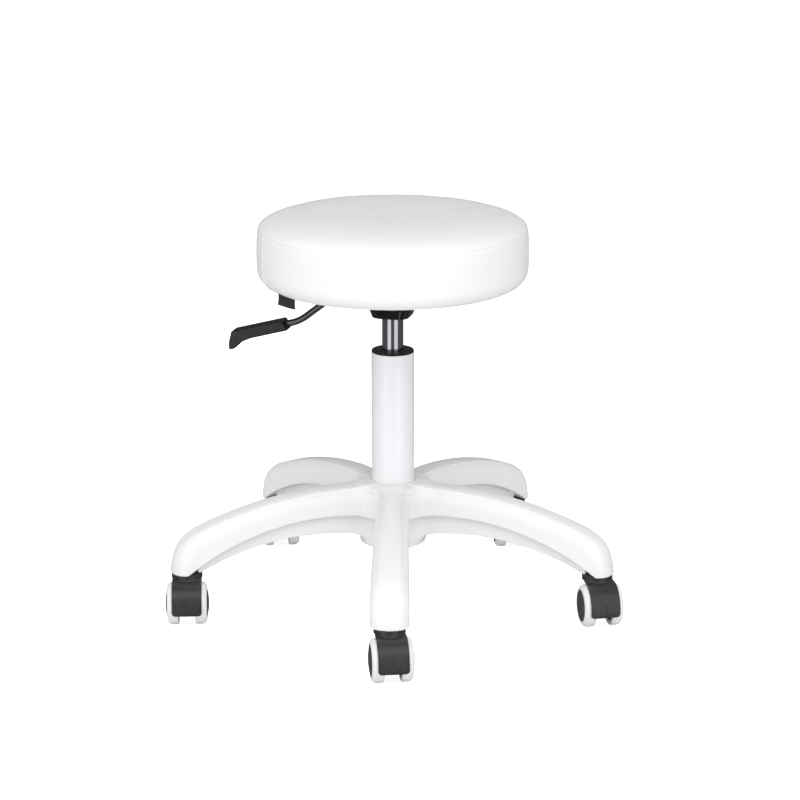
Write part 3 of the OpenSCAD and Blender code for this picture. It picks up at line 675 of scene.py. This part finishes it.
def wrapped_grid(cells):
    """A square grid of points wrapped onto the unit disc, evenly spaced round its edge."""
    a, b = np.meshgrid(np.linspace(-1, 1, cells + 1), np.linspace(-1, 1, cells + 1), indexing="ij")
    out = np.maximum(np.abs(a), np.abs(b))
    longer = np.where(np.abs(a) > np.abs(b), a, b)
    share = np.where(np.abs(a) > np.abs(b), b, a) / np.where(longer == 0, 1, longer)
    turn = np.where(np.abs(a) > np.abs(b), math.pi / 4 * share + math.pi * (a < 0),
                    math.pi / 2 - math.pi / 4 * share + math.pi * (b < 0))
    return out.ravel(), np.mod(turn.ravel(), 2 * math.pi)


def crown_height(r):
    """Height of the domed top over its seam."""
    return CROWN * np.sqrt(np.maximum(1 - (np.minimum(r, SEAM_R) / SEAM_R) ** CROWN_POWER, 0))


def crown_profile(share):
    """(radius, height) on the dome, by share of the way from the centre to the seam along it."""
    r = SEAM_R * np.sin(np.linspace(0, math.pi / 2, 400))
    z = SEAM_Z + crown_height(r)
    walked = np.concatenate([[0], np.cumsum(np.hypot(np.diff(r), np.diff(z)))])
    closer = share + EDGE_GATHER * np.sin(math.pi * share)
    return np.interp(closer, walked / walked[-1], r), np.interp(closer, walked / walked[-1], z)


def side_profile():
    """(radius, height) of the rings from just under the seam, round the fold, to the stapled flap."""
    side_z = SEAT_LOW_Z + FOLD_R
    side = [(SEAM_R + (SEAT_R - SEAM_R) * k + SIDE_BULGE * math.sin(math.pi * k),
             SEAM_Z + (side_z - SEAM_Z) * k)
            for k in np.arange(1, SIDE_RINGS + 1) / SIDE_RINGS]
    fold = arc(SEAT_R - FOLD_R, side_z, FOLD_R, 0, -90, FOLD_RINGS + 1)[1:]
    flap = [(r, SEAT_LOW_Z) for r in np.linspace(SEAT_R - FOLD_R, FLAP_R, FLAP_RINGS + 1)[1:]]
    return side + fold + flap


def from_join(turn):
    """Angle from the upright join of the side panel, between -pi and pi."""
    return np.mod(turn - JOIN_AZIMUTH + math.pi, 2 * math.pi) - math.pi


def gathered(turn, out):
    """Turns points near the side panel's join closer to it, so that it has points to fold."""
    away = from_join(turn)
    near = JOIN_GATHER * np.exp(-(away / JOIN_REACH) ** 2) * np.clip((out - JOIN_IN) / JOIN_FADE, 0, 1)
    return JOIN_AZIMUTH + away * (1 - near)


def cushion_points():
    """Points of the top panel and of each ring below it, and the order of the panel's edge."""
    out, turn = wrapped_grid(TOP_CELLS)
    edge = np.flatnonzero(out > 1 - 1e-6)
    edge = edge[np.argsort(turn[edge])]
    r, z = crown_profile(out)
    turned = gathered(turn, out)
    panel = np.stack([r * np.cos(turned), r * np.sin(turned), z], 1)
    rim_turn = turned[edge]
    rings = [np.stack([r * np.cos(rim_turn), r * np.sin(rim_turn), np.full(len(rim_turn), z)], 1)
             for r, z in side_profile()]
    return panel, rings, edge


def cushion_mesh(name, panel, rings, edge):
    count = len(edge)
    faces = grid_faces(TOP_CELLS + 1, TOP_CELLS + 1).tolist()
    numbers = [edge] + [len(panel) + k * count + np.arange(count) for k in range(len(rings))]
    for upper, lower in zip(numbers, numbers[1:]):
        faces += np.stack([upper, lower, np.roll(lower, -1), np.roll(upper, -1)], 1).tolist()
    faces.append(numbers[-1][::-1].tolist())
    return cleaned(mesh_object(name, np.concatenate([panel] + rings), faces), weld=False)


def point_normals(piece):
    piece.data.update()
    return np.array([v.normal for v in piece.data.vertices])


def set_points(piece, points):
    piece.data.vertices.foreach_set("co", np.asarray(points, np.float32).ravel())
    piece.data.update()


def evened(values, piece):
    """The values at the piece's points, averaged with their neighbours' again and again."""
    ends = np.array([e.vertices for e in piece.data.edges])
    here, there = np.concatenate([ends, ends[:, ::-1]]).T
    count = np.bincount(here)
    for _ in range(SMOOTHING):
        values = (values + np.bincount(here, values[there]) / count) / 2
    return values


def pressed(piece, pinned):
    """Simulates the cover as cloth blown up from inside, and returns where its points went."""
    piece.vertex_groups.new(name="pinned").add(pinned.tolist(), 1.0, "REPLACE")
    cloth = piece.modifiers.new("Cloth", "CLOTH")
    cloth.settings.vertex_group_mass = "pinned"
    cloth.settings.use_pressure = True
    cloth.settings.uniform_pressure_force = PRESSURE
    cloth.settings.effector_weights.gravity = 0
    cloth.settings.quality = CLOTH_STEPS
    cloth.collision_settings.use_collision = False
    for number in range(1, CLOTH_FRAMES + 1):
        bpy.context.scene.frame_set(number)
    settled = piece.evaluated_get(bpy.context.evaluated_depsgraph_get())
    points = np.array([v.co for v in settled.data.vertices])
    piece.modifiers.remove(cloth)
    bpy.context.scene.frame_set(1)
    return points


def subdivided(piece):
    """One subdivision, stored in the mesh."""
    modifier = piece.modifiers.new("Subdivision", "SUBSURF")
    modifier.levels = modifier.render_levels = 1
    return baked(piece)


def undulation(points):
    """Slow unevenness of padding, between -1 and 1. The phases only shift it about."""
    x, y, z = points.T / mm
    (wide_x, wide_y), (skew_x, skew_y), (up_z, up_x) = PADDING_SIZES
    wide = np.sin(x / wide_x + 1.3) * np.sin(y / wide_y + 0.4)
    return (wide + 0.6 * np.sin(x / skew_x - y / skew_y + 2.1) + 0.5 * np.sin(z / up_z + x / up_x)) / 2.1


def cushion():
    """The cover, blown up from a slightly smaller one that is held at its seam and under the seat."""
    panel, rings, edge = cushion_points()
    cover = cushion_mesh("cover_start", panel, rings, edge)
    target, normals = point_array(cover), point_normals(cover)
    under = len(panel) + (SIDE_RINGS + PINNED_RINGS) * len(edge)
    pinned = np.concatenate([edge, np.arange(under, len(target))])
    inset = START_INSET * np.clip(normals[:, 2], SIDE_SHARE, 1)
    inset[pinned] = 0
    start = target - normals * inset[:, None]
    swell = inset
    set_points(cover, start)
    pushed = ((pressed(cover, pinned) - start) * normals).sum(1)
    swell = evened(np.clip(pushed * SWELL_LIMIT / pushed.max(), 0, SWELL_LIMIT), cover)
    swell[pinned] = 0
    bpy.data.objects.remove(cover)
    seamed_cushion(start + normals * swell[:, None], len(panel), len(rings), edge)


def seamed_cushion(points, panel_count, ring_count, edge):
    """Cuts in the seam between top and side, subdivides, and folds in the side's join."""
    panel = points[:panel_count].copy()
    rings = list(points[panel_count:].reshape(ring_count, len(edge), 3))
    seam = panel[edge].copy()
    i, j = np.divmod(edge, TOP_CELLS + 1)
    inner = np.clip(i, 1, TOP_CELLS - 1) * (TOP_CELLS + 1) + np.clip(j, 1, TOP_CELLS - 1)
    out = seam * (1, 1, 0) / np.linalg.norm(seam[:, :2], axis=1)[:, None]
    panel[edge] = seam + SEAM_HALF_W * unit(panel[inner] - seam)
    groove = seam - out * SEAM_DEPTH
    under = seam + SEAM_HALF_W * unit(rings[0] - seam)
    piece = subdivided(cushion_mesh("seat_cushion", panel, [groove, under] + rings, edge))
    points, normals = point_array(piece), point_normals(piece)
    x, y, z = points.T
    away = from_join(np.arctan2(y, x))
    side = np.clip((SEAM_Z + RIDGE_FADE - z) / RIDGE_FADE, 0, 1) * (np.hypot(x, y) > FLAP_R)
    fold = np.exp(-(away * SEAT_R / JOIN_HALF_W) ** 2) * JOIN_DEPTH
    ridge = np.exp(-((np.abs(away) * SEAT_R - RIDGE_OUT) / RIDGE_HALF_W) ** 2) * JOIN_DEPTH * RIDGE_SHARE
    soft = undulation(points) * PADDING_DEPTH * (z > SEAT_LOW_Z + mm)
    set_points(piece, points + normals * (side * (ridge - fold) + soft)[:, None])
    finished(piece, "seat", "vinyl_white", "seat_cover", "seat_foam")


# ---- Under the seat
STAPLE_COUNT, STAPLE_CIRCLE_R, STAPLE_W, STAPLE_WIRE_R = 24, 136 * mm, 10 * mm, 0.45 * mm
STAPLE_LEG, STAPLE_BEND = 9 * mm, mm
SHEET_CELLS, SHEET_PULL, SHEET_SAG, SHEET_LOSS = 40, 0.2 * mm, 0.15 * mm, 0.3 * mm
TAG_CENTRE_R, TAG_HALF_W, TAG_SHIFT, TAG_TURN = 164 * mm, 14 * mm, 3, 14
TAG_COLUMNS, TAG_ROWS, TAG_T, TAG_RAISE, TAG_EXTRA_H = 17, 13, 0.6 * mm, 1.5 * mm, 3.5 * mm
TAG_WAVE, TAG_CURL, TAG_FLARE, TAG_SLANT = 1.2, 2.6, 3 * mm, 0.6 * mm


def sheet(name, points, rows, columns, thickness):
    """A thin closed sheet whose middle lies on a grid of points."""
    piece = mesh_object(name, points, grid_faces(rows, columns))
    modifier = piece.modifiers.new("Thickness", "SOLIDIFY")
    modifier.thickness, modifier.offset = thickness, 0
    return cleaned(baked(piece), weld=False)


def dust_cover():
    """Non-woven sheet, drawn a little up between its staples."""
    low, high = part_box("dust_cover")
    out, turn = wrapped_grid(SHEET_CELLS)
    r = out * high.x
    x, y = r * np.cos(turn), r * np.sin(turn)
    pull = np.clip((out - 0.85) / 0.15, 0, 1) * (1 + np.cos(STAPLE_COUNT * turn + math.pi)) / 2
    sag = undulation(np.stack([x, y, 0 * x], 1)) * np.clip((0.95 - out) / 0.3, 0, 1)
    points = np.stack([x, y, (low.z + high.z) / 2 + SHEET_PULL * pull + SHEET_SAG * sag], 1)
    side = SHEET_CELLS + 1
    piece = sheet("dust_cover_sheet", points, side, side, high.z - low.z - SHEET_LOSS)
    finished(piece, "seat", "dust_fabric", "dust_cover")


def staples():
    z, half = bottom("cover_staples") + STAPLE_WIRE_R, STAPLE_W / 2
    wire = softened([(-half, STAPLE_LEG), (-half, 0), (half, 0), (half, STAPLE_LEG)], STAPLE_BEND)
    made = []
    for k in range(STAPLE_COUNT):
        turn = turn_about_z((k + 0.5) * 360 / STAPLE_COUNT)
        place = turn @ Matrix.Translation((STAPLE_CIRCLE_R, 0, z))
        path = moved(np.column_stack([0 * wire[:, 0], wire]), place)
        made.append(sweep("staple", path, STAPLE_WIRE_R, moved([(1, 0, 0)], turn)[0], around=8))
    finished(joined("cover_staple_wires", made), "seat", "plain_steel", "cover_staples")


def label_tag():
    """Blank ribbon that hangs from the cover's bottom fold, with a curl to its free end."""
    low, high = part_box("label_tag")
    centre = (low + high) / 2
    place = (turn_about_z(math.degrees(math.atan2(centre.y, centre.x)) - TAG_SHIFT)
             @ Matrix.Translation((TAG_CENTRE_R, 0, 0)) @ turn_about_z(TAG_TURN))
    grid = np.meshgrid(np.linspace(-1, 1, TAG_COLUMNS), np.linspace(0, 1, TAG_ROWS), indexing="ij")
    across, down = (a.ravel() for a in grid)
    out = (TAG_WAVE * np.sin(2.2 * across + 0.5) * down + TAG_CURL * down ** 2) * mm
    side = across * TAG_HALF_W + TAG_FLARE * down ** 2 * np.maximum(across, 0)
    z = high.z + TAG_RAISE - (high.z - low.z + TAG_EXTRA_H) * down - TAG_SLANT * across * down
    points = moved(np.stack([out, side, z], 1), place)
    ribbon = sheet("label_ribbon", points, TAG_COLUMNS, TAG_ROWS, TAG_T)
    finished(ribbon, "seat", "tag_fabric", "label_tag")


# ---- Materials
NOISE_RANGE, WORN_EDGES = (0.3, 0.7), (0.52, 0.62)


def set_inputs(node, values):
    for name, value in values.items():
        node.inputs[name].default_value = value


class Finish:
    """A node material being built for one of the record's slots."""

    def __init__(self, slot, color, roughness, **inputs):
        self.material = bpy.data.materials.new(slot)
        self.material.use_nodes = True
        self.nodes, self.links = self.material.node_tree.nodes, self.material.node_tree.links
        self.surface = self.nodes["Principled BSDF"]
        self.place = self.nodes.new("ShaderNodeTexCoord").outputs["Object"]
        self.roughness, self.bump = roughness, None
        set_inputs(self.surface, {"Base Color": (*color, 1), "Roughness": roughness})
        set_inputs(self.surface, {name.replace("_", " "): value for name, value in inputs.items()})

    def node(self, kind, **values):
        made = self.nodes.new(kind)
        for name, value in values.items():
            if name in made.inputs.keys():
                made.inputs[name].default_value = value
            else:
                setattr(made, name, value)
        return made

    def placed(self, texture, output, place=None):
        self.links.new(place or self.place, texture.inputs["Vector"])
        return texture.outputs[output]

    def noise(self, size, detail=2.0, stretch=(1, 1, 1)):
        """Noise whose marks are about `size` across, in metres."""
        mapping = self.node("ShaderNodeMapping", Scale=stretch)
        self.links.new(self.place, mapping.inputs["Vector"])
        made = self.node("ShaderNodeTexNoise", Scale=1 / size, Detail=detail)
        return self.placed(made, "Fac", mapping.outputs[0])

    def cells(self, size):
        return self.placed(self.node("ShaderNodeTexVoronoi", Scale=1 / size, feature="SMOOTH_F1"), "Distance")

    def threads(self, size, axis):
        made = self.node("ShaderNodeTexWave", Scale=1 / size / 2, Distortion=0.4, bands_direction=axis)
        return self.placed(made, "Fac")

    def spread(self, source, low, high, start=NOISE_RANGE[0], end=NOISE_RANGE[1]):
        """The source's stretch from start to end, mapped onto low to high."""
        made = self.node("ShaderNodeMapRange")
        set_inputs(made, {"From Min": start, "From Max": end, "To Min": low, "To Max": high})
        self.links.new(source, made.inputs["Value"])
        return made.outputs["Result"]

    def mixed(self, factor, other):
        """Mixes another colour into the surface's by a factor."""
        mix = self.node("ShaderNodeMix", data_type="RGBA")
        before = self.surface.inputs["Base Color"]
        mix.inputs["A"].default_value = before.default_value
        if before.links:
            self.links.new(before.links[0].from_socket, mix.inputs["A"])
        mix.inputs["B"].default_value = (*other, 1)
        self.links.new(factor, mix.inputs["Factor"])
        self.links.new(mix.outputs["Result"], before)
        return self

    def tinted(self, source, other, amount):
        """Varies the colour towards another one where the source is high."""
        return self.mixed(self.spread(source, 0, amount), other)

    def varied(self, source, amount):
        """Varies the roughness by the amount each way."""
        spread = self.spread(source, self.roughness - amount, self.roughness + amount)
        self.links.new(spread, self.surface.inputs["Roughness"])
        return self

    def raised(self, source, depth):
        """Adds relief of the given depth in metres."""
        made = self.node("ShaderNodeBump", Distance=depth)
        self.links.new(source, made.inputs["Height"])
        if self.bump:
            self.links.new(self.bump, made.inputs["Normal"])
        self.bump = made.outputs["Normal"]
        self.links.new(self.bump, self.surface.inputs["Normal"])
        return self

    def worn(self, color, amount):
        """Lightens the outer edges, where hands and feet rub."""
        edges = self.node("ShaderNodeNewGeometry").outputs["Pointiness"]
        return self.mixed(self.spread(edges, 0, amount, *WORN_EDGES), color)


def vinyl_white(slot):
    """Satin upholstery vinyl with a fine leather grain."""
    f = Finish(slot, (0.88, 0.882, 0.888), 0.42)
    f.tinted(f.noise(90 * mm), (0.855, 0.858, 0.868), 0.6)
    f.varied(f.noise(25 * mm, 4), 0.05)
    f.raised(f.cells(1.3 * mm), 0.03 * mm).raised(f.noise(0.5 * mm, 4), 0.02 * mm)
    return f


def base_nylon(slot):
    """Satin moulded nylon, faintly warm, with the slight flow marks of a big moulding."""
    f = Finish(slot, (0.90, 0.897, 0.888), 0.36)
    f.tinted(f.noise(60 * mm, 3), (0.875, 0.871, 0.86), 0.6)
    f.varied(f.noise(8 * mm, 4), 0.05)
    f.raised(f.noise(0.9 * mm, 3), 0.015 * mm).raised(f.noise(18 * mm, 2), 0.05 * mm)
    return f


def sleeve_white(slot):
    """Gloss tube, a cooler white, with a faint orange peel."""
    f = Finish(slot, (0.875, 0.882, 0.90), 0.16)
    f.tinted(f.noise(50 * mm, 2, (1, 1, 0.2)), (0.855, 0.865, 0.885), 0.6)
    f.varied(f.noise(12 * mm, 3), 0.04)
    f.raised(f.noise(2.5 * mm, 2), 0.012 * mm)
    return f


def tread_white(slot):
    """Soft polyurethane tread, with a little floor dust in its grain."""
    f = Finish(slot, (0.88, 0.88, 0.885), 0.4)
    f.tinted(f.noise(5 * mm, 5), (0.82, 0.82, 0.825), 0.5)
    f.varied(f.noise(4 * mm, 3), 0.08)
    f.raised(f.noise(0.7 * mm, 3), 0.02 * mm)
    return f


def dark_plastic(slot, color, roughness, grain, depth):
    """Moulded dark plastic with a spark-eroded texture and rubbed edges."""
    f = Finish(slot, color, roughness)
    lighter = tuple(c * 1.4 + 0.006 for c in color)
    f.tinted(f.noise(14 * mm, 4), lighter, 0.35)
    f.varied(f.noise(6 * mm, 4), 0.06)
    f.raised(f.noise(grain, 3), depth).raised(f.noise(9 * mm, 2), 0.03 * mm)
    f.worn(tuple(c * 2 + 0.015 for c in color), 0.3)
    return f


def hood_plastic(slot):
    """Satin dark grey, drawn in fine lines down the hood."""
    f = Finish(slot, (0.028, 0.028, 0.032), 0.36)
    f.tinted(f.noise(1.6 * mm, 3, (1, 1, 0.06)), (0.055, 0.055, 0.061), 0.7)
    f.varied(f.noise(2.5 * mm, 3, (1, 1, 0.1)), 0.07)
    f.raised(f.noise(1.2 * mm, 3, (1, 1, 0.06)), 0.03 * mm)
    return f


def gloss_black(slot, color, roughness, coat):
    """Gloss enamel over metal, with orange peel and small chips of dust."""
    f = Finish(slot, color, roughness, Coat_Weight=coat, Specular_IOR_Level=0.5 + coat / 2)
    f.varied(f.noise(10 * mm, 4), 0.05)
    f.raised(f.noise(2.2 * mm, 2), 0.03 * mm)
    f.tinted(f.noise(3 * mm, 5), tuple(c + 0.005 for c in color), 0.6)
    f.worn(tuple(c + 0.02 for c in color), 0.25)
    return f


def steel(slot, color, roughness, ground):
    """Steel with grinding marks round or along it."""
    f = Finish(slot, color, roughness, Metallic=1.0)
    f.varied(f.noise(1.5 * mm, 4, ground), 0.05)
    f.raised(f.noise(0.6 * mm, 3, ground), 0.004 * mm)
    f.tinted(f.noise(20 * mm, 3), tuple(c * 0.88 for c in color), 0.5)
    return f


def rubber(slot):
    f = Finish(slot, (0.02, 0.02, 0.02), 0.7)
    f.varied(f.noise(3 * mm, 4), 0.08)
    f.raised(f.noise(0.8 * mm, 3), 0.05 * mm)
    return f


def plywood(slot):
    """Rotary-cut face with long grain."""
    f = Finish(slot, (0.62, 0.45, 0.27), 0.6)
    f.tinted(f.noise(9 * mm, 6, (0.08, 1, 1)), (0.48, 0.31, 0.17), 0.8)
    f.raised(f.noise(1.5 * mm, 4, (0.1, 1, 1)), 0.1 * mm)
    return f


def foam(slot):
    f = Finish(slot, (0.85, 0.80, 0.55), 0.9)
    f.raised(f.cells(1.5 * mm), 0.4 * mm)
    return f


def dust_fabric(slot):
    """Black spun-bonded sheet: pressed dots over random fibres."""
    f = Finish(slot, (0.018, 0.018, 0.02), 0.85, Sheen_Weight=0.3)
    f.tinted(f.noise(0.8 * mm, 6), (0.045, 0.045, 0.05), 0.7)
    f.raised(f.cells(1.6 * mm), 0.15 * mm).raised(f.noise(0.5 * mm, 5), 0.08 * mm)
    return f


def tag_fabric(slot):
    """Woven black ribbon."""
    f = Finish(slot, (0.010, 0.010, 0.012), 0.6, Sheen_Weight=0.15)
    f.tinted(f.threads(0.5 * mm, "Z"), (0.03, 0.03, 0.035), 0.6)
    f.raised(f.threads(0.5 * mm, "Z"), 0.1 * mm).raised(f.threads(0.7 * mm, "X"), 0.08 * mm)
    return f


OWN_FINISHES = (vinyl_white, base_nylon, sleeve_white, tread_white, hood_plastic, rubber, plywood, foam,
                dust_fabric, tag_fabric)
SHARED_FINISHES = {
    "black_plastic": (dark_plastic, (0.012, 0.012, 0.014), 0.3, 1.2 * mm, 0.02 * mm),
    "wheel_core": (dark_plastic, (0.055, 0.055, 0.06), 0.45, 0.9 * mm, 0.03 * mm),
    "grip_black": (dark_plastic, (0.010, 0.010, 0.011), 0.38, 0.8 * mm, 0.05 * mm),
    "valve_red": (dark_plastic, (0.55, 0.08, 0.02), 0.35, 1.0 * mm, 0.02 * mm),
    "mechanism_black": (gloss_black, (0.004, 0.004, 0.005), 0.12, 0.3),
    "lever_black": (gloss_black, (0.006, 0.006, 0.007), 0.08, 1.0),
    "bright_steel": (steel, (0.62, 0.63, 0.66), 0.13, (1, 1, 0.02)),
    "plain_steel": (steel, (0.5, 0.5, 0.5), 0.35, (1, 1, 1)),
    "column_steel": (steel, (0.25, 0.25, 0.26), 0.45, (1, 1, 1)),
    "brass": (steel, (0.75, 0.6, 0.28), 0.3, (1, 1, 1)),
}
FINISHES = {make.__name__: (make,) for make in OWN_FINISHES} | SHARED_FINISHES
made_finishes = {}


def paint(piece, slot):
    if slot not in made_finishes:
        make, *values = FINISHES[slot]
        made_finishes[slot] = make(slot, *values).material
    piece.data.materials.clear()
    piece.data.materials.append(made_finishes[slot])


def paint_cad_nodes():
    """Gives every CAD node that stays in view the finish of its own material slot."""
    for row in frame["record"]["subparts"]:
        node = frame["nodes"][row["node"]]
        if not node.hide_render:
            paint(node, row["material_slot"])


# ---- Stage
AIM = Vector((9.4 * mm, 0, 273.2 * mm))
CAMERA_AZIMUTH, CAMERA_ELEVATION, CAMERA_DISTANCE = 0.69, 15.76, 3.139
CAMERA_LENS, SENSOR_W = 107.67, 36
FLOOR_HALF_W, FLOOR_COLOR, FLOOR_GLOW = 15, (0.9, 0.9, 0.9), 0.8
SIDE_LIGHTS = (("left", -37, 15.5), ("right", 36, 14.5))
SIDE_LIGHT_DISTANCE, SIDE_LIGHT_Z, SIDE_LIGHT_SIZE = 2.2, 0.45, (1.5, 3.4)
TOP_LIGHT, TOP_LIGHT_SIZE, TOP_LIGHT_WATTS = Vector((0, -1.4, 2.3)), (2.2, 1.3), 13.5
FILL, REFLECTED, SEEN = (0.745, 0.745, 0.75), (0.10, 0.10, 0.11), (1, 1, 1)


def direction(azimuth, elevation):
    """Unit vector from the object towards these angles in degrees. Azimuth 0 is on the -Y side."""
    a, e = math.radians(azimuth), math.radians(elevation)
    return Vector((math.sin(a) * math.cos(e), -math.cos(a) * math.cos(e), math.sin(e)))


def camera():
    data = bpy.data.cameras.new("camera")
    data.lens, data.sensor_width = CAMERA_LENS, SENSOR_W
    made = linked("camera", data)
    back = direction(CAMERA_AZIMUTH, CAMERA_ELEVATION)
    made.location = AIM + back * CAMERA_DISTANCE
    made.rotation_euler = (-back).to_track_quat("-Z", "Y").to_euler()
    bpy.context.scene.camera = made


def softbox(name, place, size, watts):
    """Soft light that faces the stool and that the camera doesn't see."""
    data = bpy.data.lights.new(name, "AREA")
    data.shape, data.energy = "RECTANGLE", watts
    data.size, data.size_y = size
    made = linked(name, data)
    made.location = place
    made.rotation_euler = (made.location - AIM).to_track_quat("Z", "Y").to_euler()
    made.visible_camera = False


def lights():
    """Two upright lights in front, which reach below the floor for reflections only, and one above."""
    for name, azimuth, watts in SIDE_LIGHTS:
        place = direction(azimuth, 0) * SIDE_LIGHT_DISTANCE + Vector((0, 0, SIDE_LIGHT_Z))
        softbox("softbox_" + name, place, SIDE_LIGHT_SIZE, watts)
    softbox("softbox_top", TOP_LIGHT, TOP_LIGHT_SIZE, TOP_LIGHT_WATTS)


def ray_mix(tree, base, other, ray):
    """One shader for rays of one kind, another for the rest."""
    path = tree.nodes.new("ShaderNodeLightPath")
    mix = tree.nodes.new("ShaderNodeMixShader")
    tree.links.new(path.outputs[ray], mix.inputs["Fac"])
    tree.links.new(base, mix.inputs[1])
    tree.links.new(other, mix.inputs[2])
    return mix.outputs[0]


def background(tree, level):
    made = tree.nodes.new("ShaderNodeBackground")
    set_inputs(made, {"Color": (*level, 1)})
    return made.outputs[0]


def surroundings():
    """White to the camera, a soft grey fill for matt surfaces, and dim in reflections."""
    world = bpy.data.worlds.new("studio")
    world.use_nodes = True
    tree = world.node_tree
    tree.nodes.clear()
    fill = ray_mix(tree, background(tree, FILL), background(tree, REFLECTED), "Is Glossy Ray")
    seen = ray_mix(tree, fill, background(tree, SEEN), "Is Camera Ray")
    tree.links.new(seen, tree.nodes.new("ShaderNodeOutputWorld").inputs["Surface"])
    bpy.context.scene.world = world


def floor():
    """Pale floor that glows a little to the camera and is left out of reflections."""
    w = FLOOR_HALF_W
    made = mesh_object("floor", [(-w, -w, 0), (w, -w, 0), (w, w, 0), (-w, w, 0)], [(0, 1, 2, 3)])
    material = bpy.data.materials.new("floor")
    material.use_nodes = True
    tree = material.node_tree
    surface, output = tree.nodes["Principled BSDF"], tree.nodes["Material Output"]
    set_inputs(surface, {"Base Color": (*FLOOR_COLOR, 1), "Roughness": 0.9, "Specular IOR Level": 0})
    glow, lit = tree.nodes.new("ShaderNodeEmission"), tree.nodes.new("ShaderNodeAddShader")
    set_inputs(glow, {"Strength": FLOOR_GLOW})
    tree.links.new(surface.outputs[0], lit.inputs[0])
    tree.links.new(glow.outputs[0], lit.inputs[1])
    clear = tree.nodes.new("ShaderNodeBsdfTransparent").outputs[0]
    unlit = ray_mix(tree, surface.outputs[0], clear, "Is Glossy Ray")
    seen = ray_mix(tree, unlit, lit.outputs[0], "Is Camera Ray")
    tree.links.new(seen, output.inputs["Surface"])
    made.data.materials.append(material)


# ---- Scene
star_base()
column_sleeve()
column_cap()
pressure_tube()
mechanism_cup()
mechanism_plate()
lever_rod()
lever_grip()
casters()
cushion()
dust_cover()
staples()
label_tag()
paint_cad_nodes()
surroundings()
floor()
lights()
camera()
bpy.context.scene.view_settings.view_transform = "Standard"
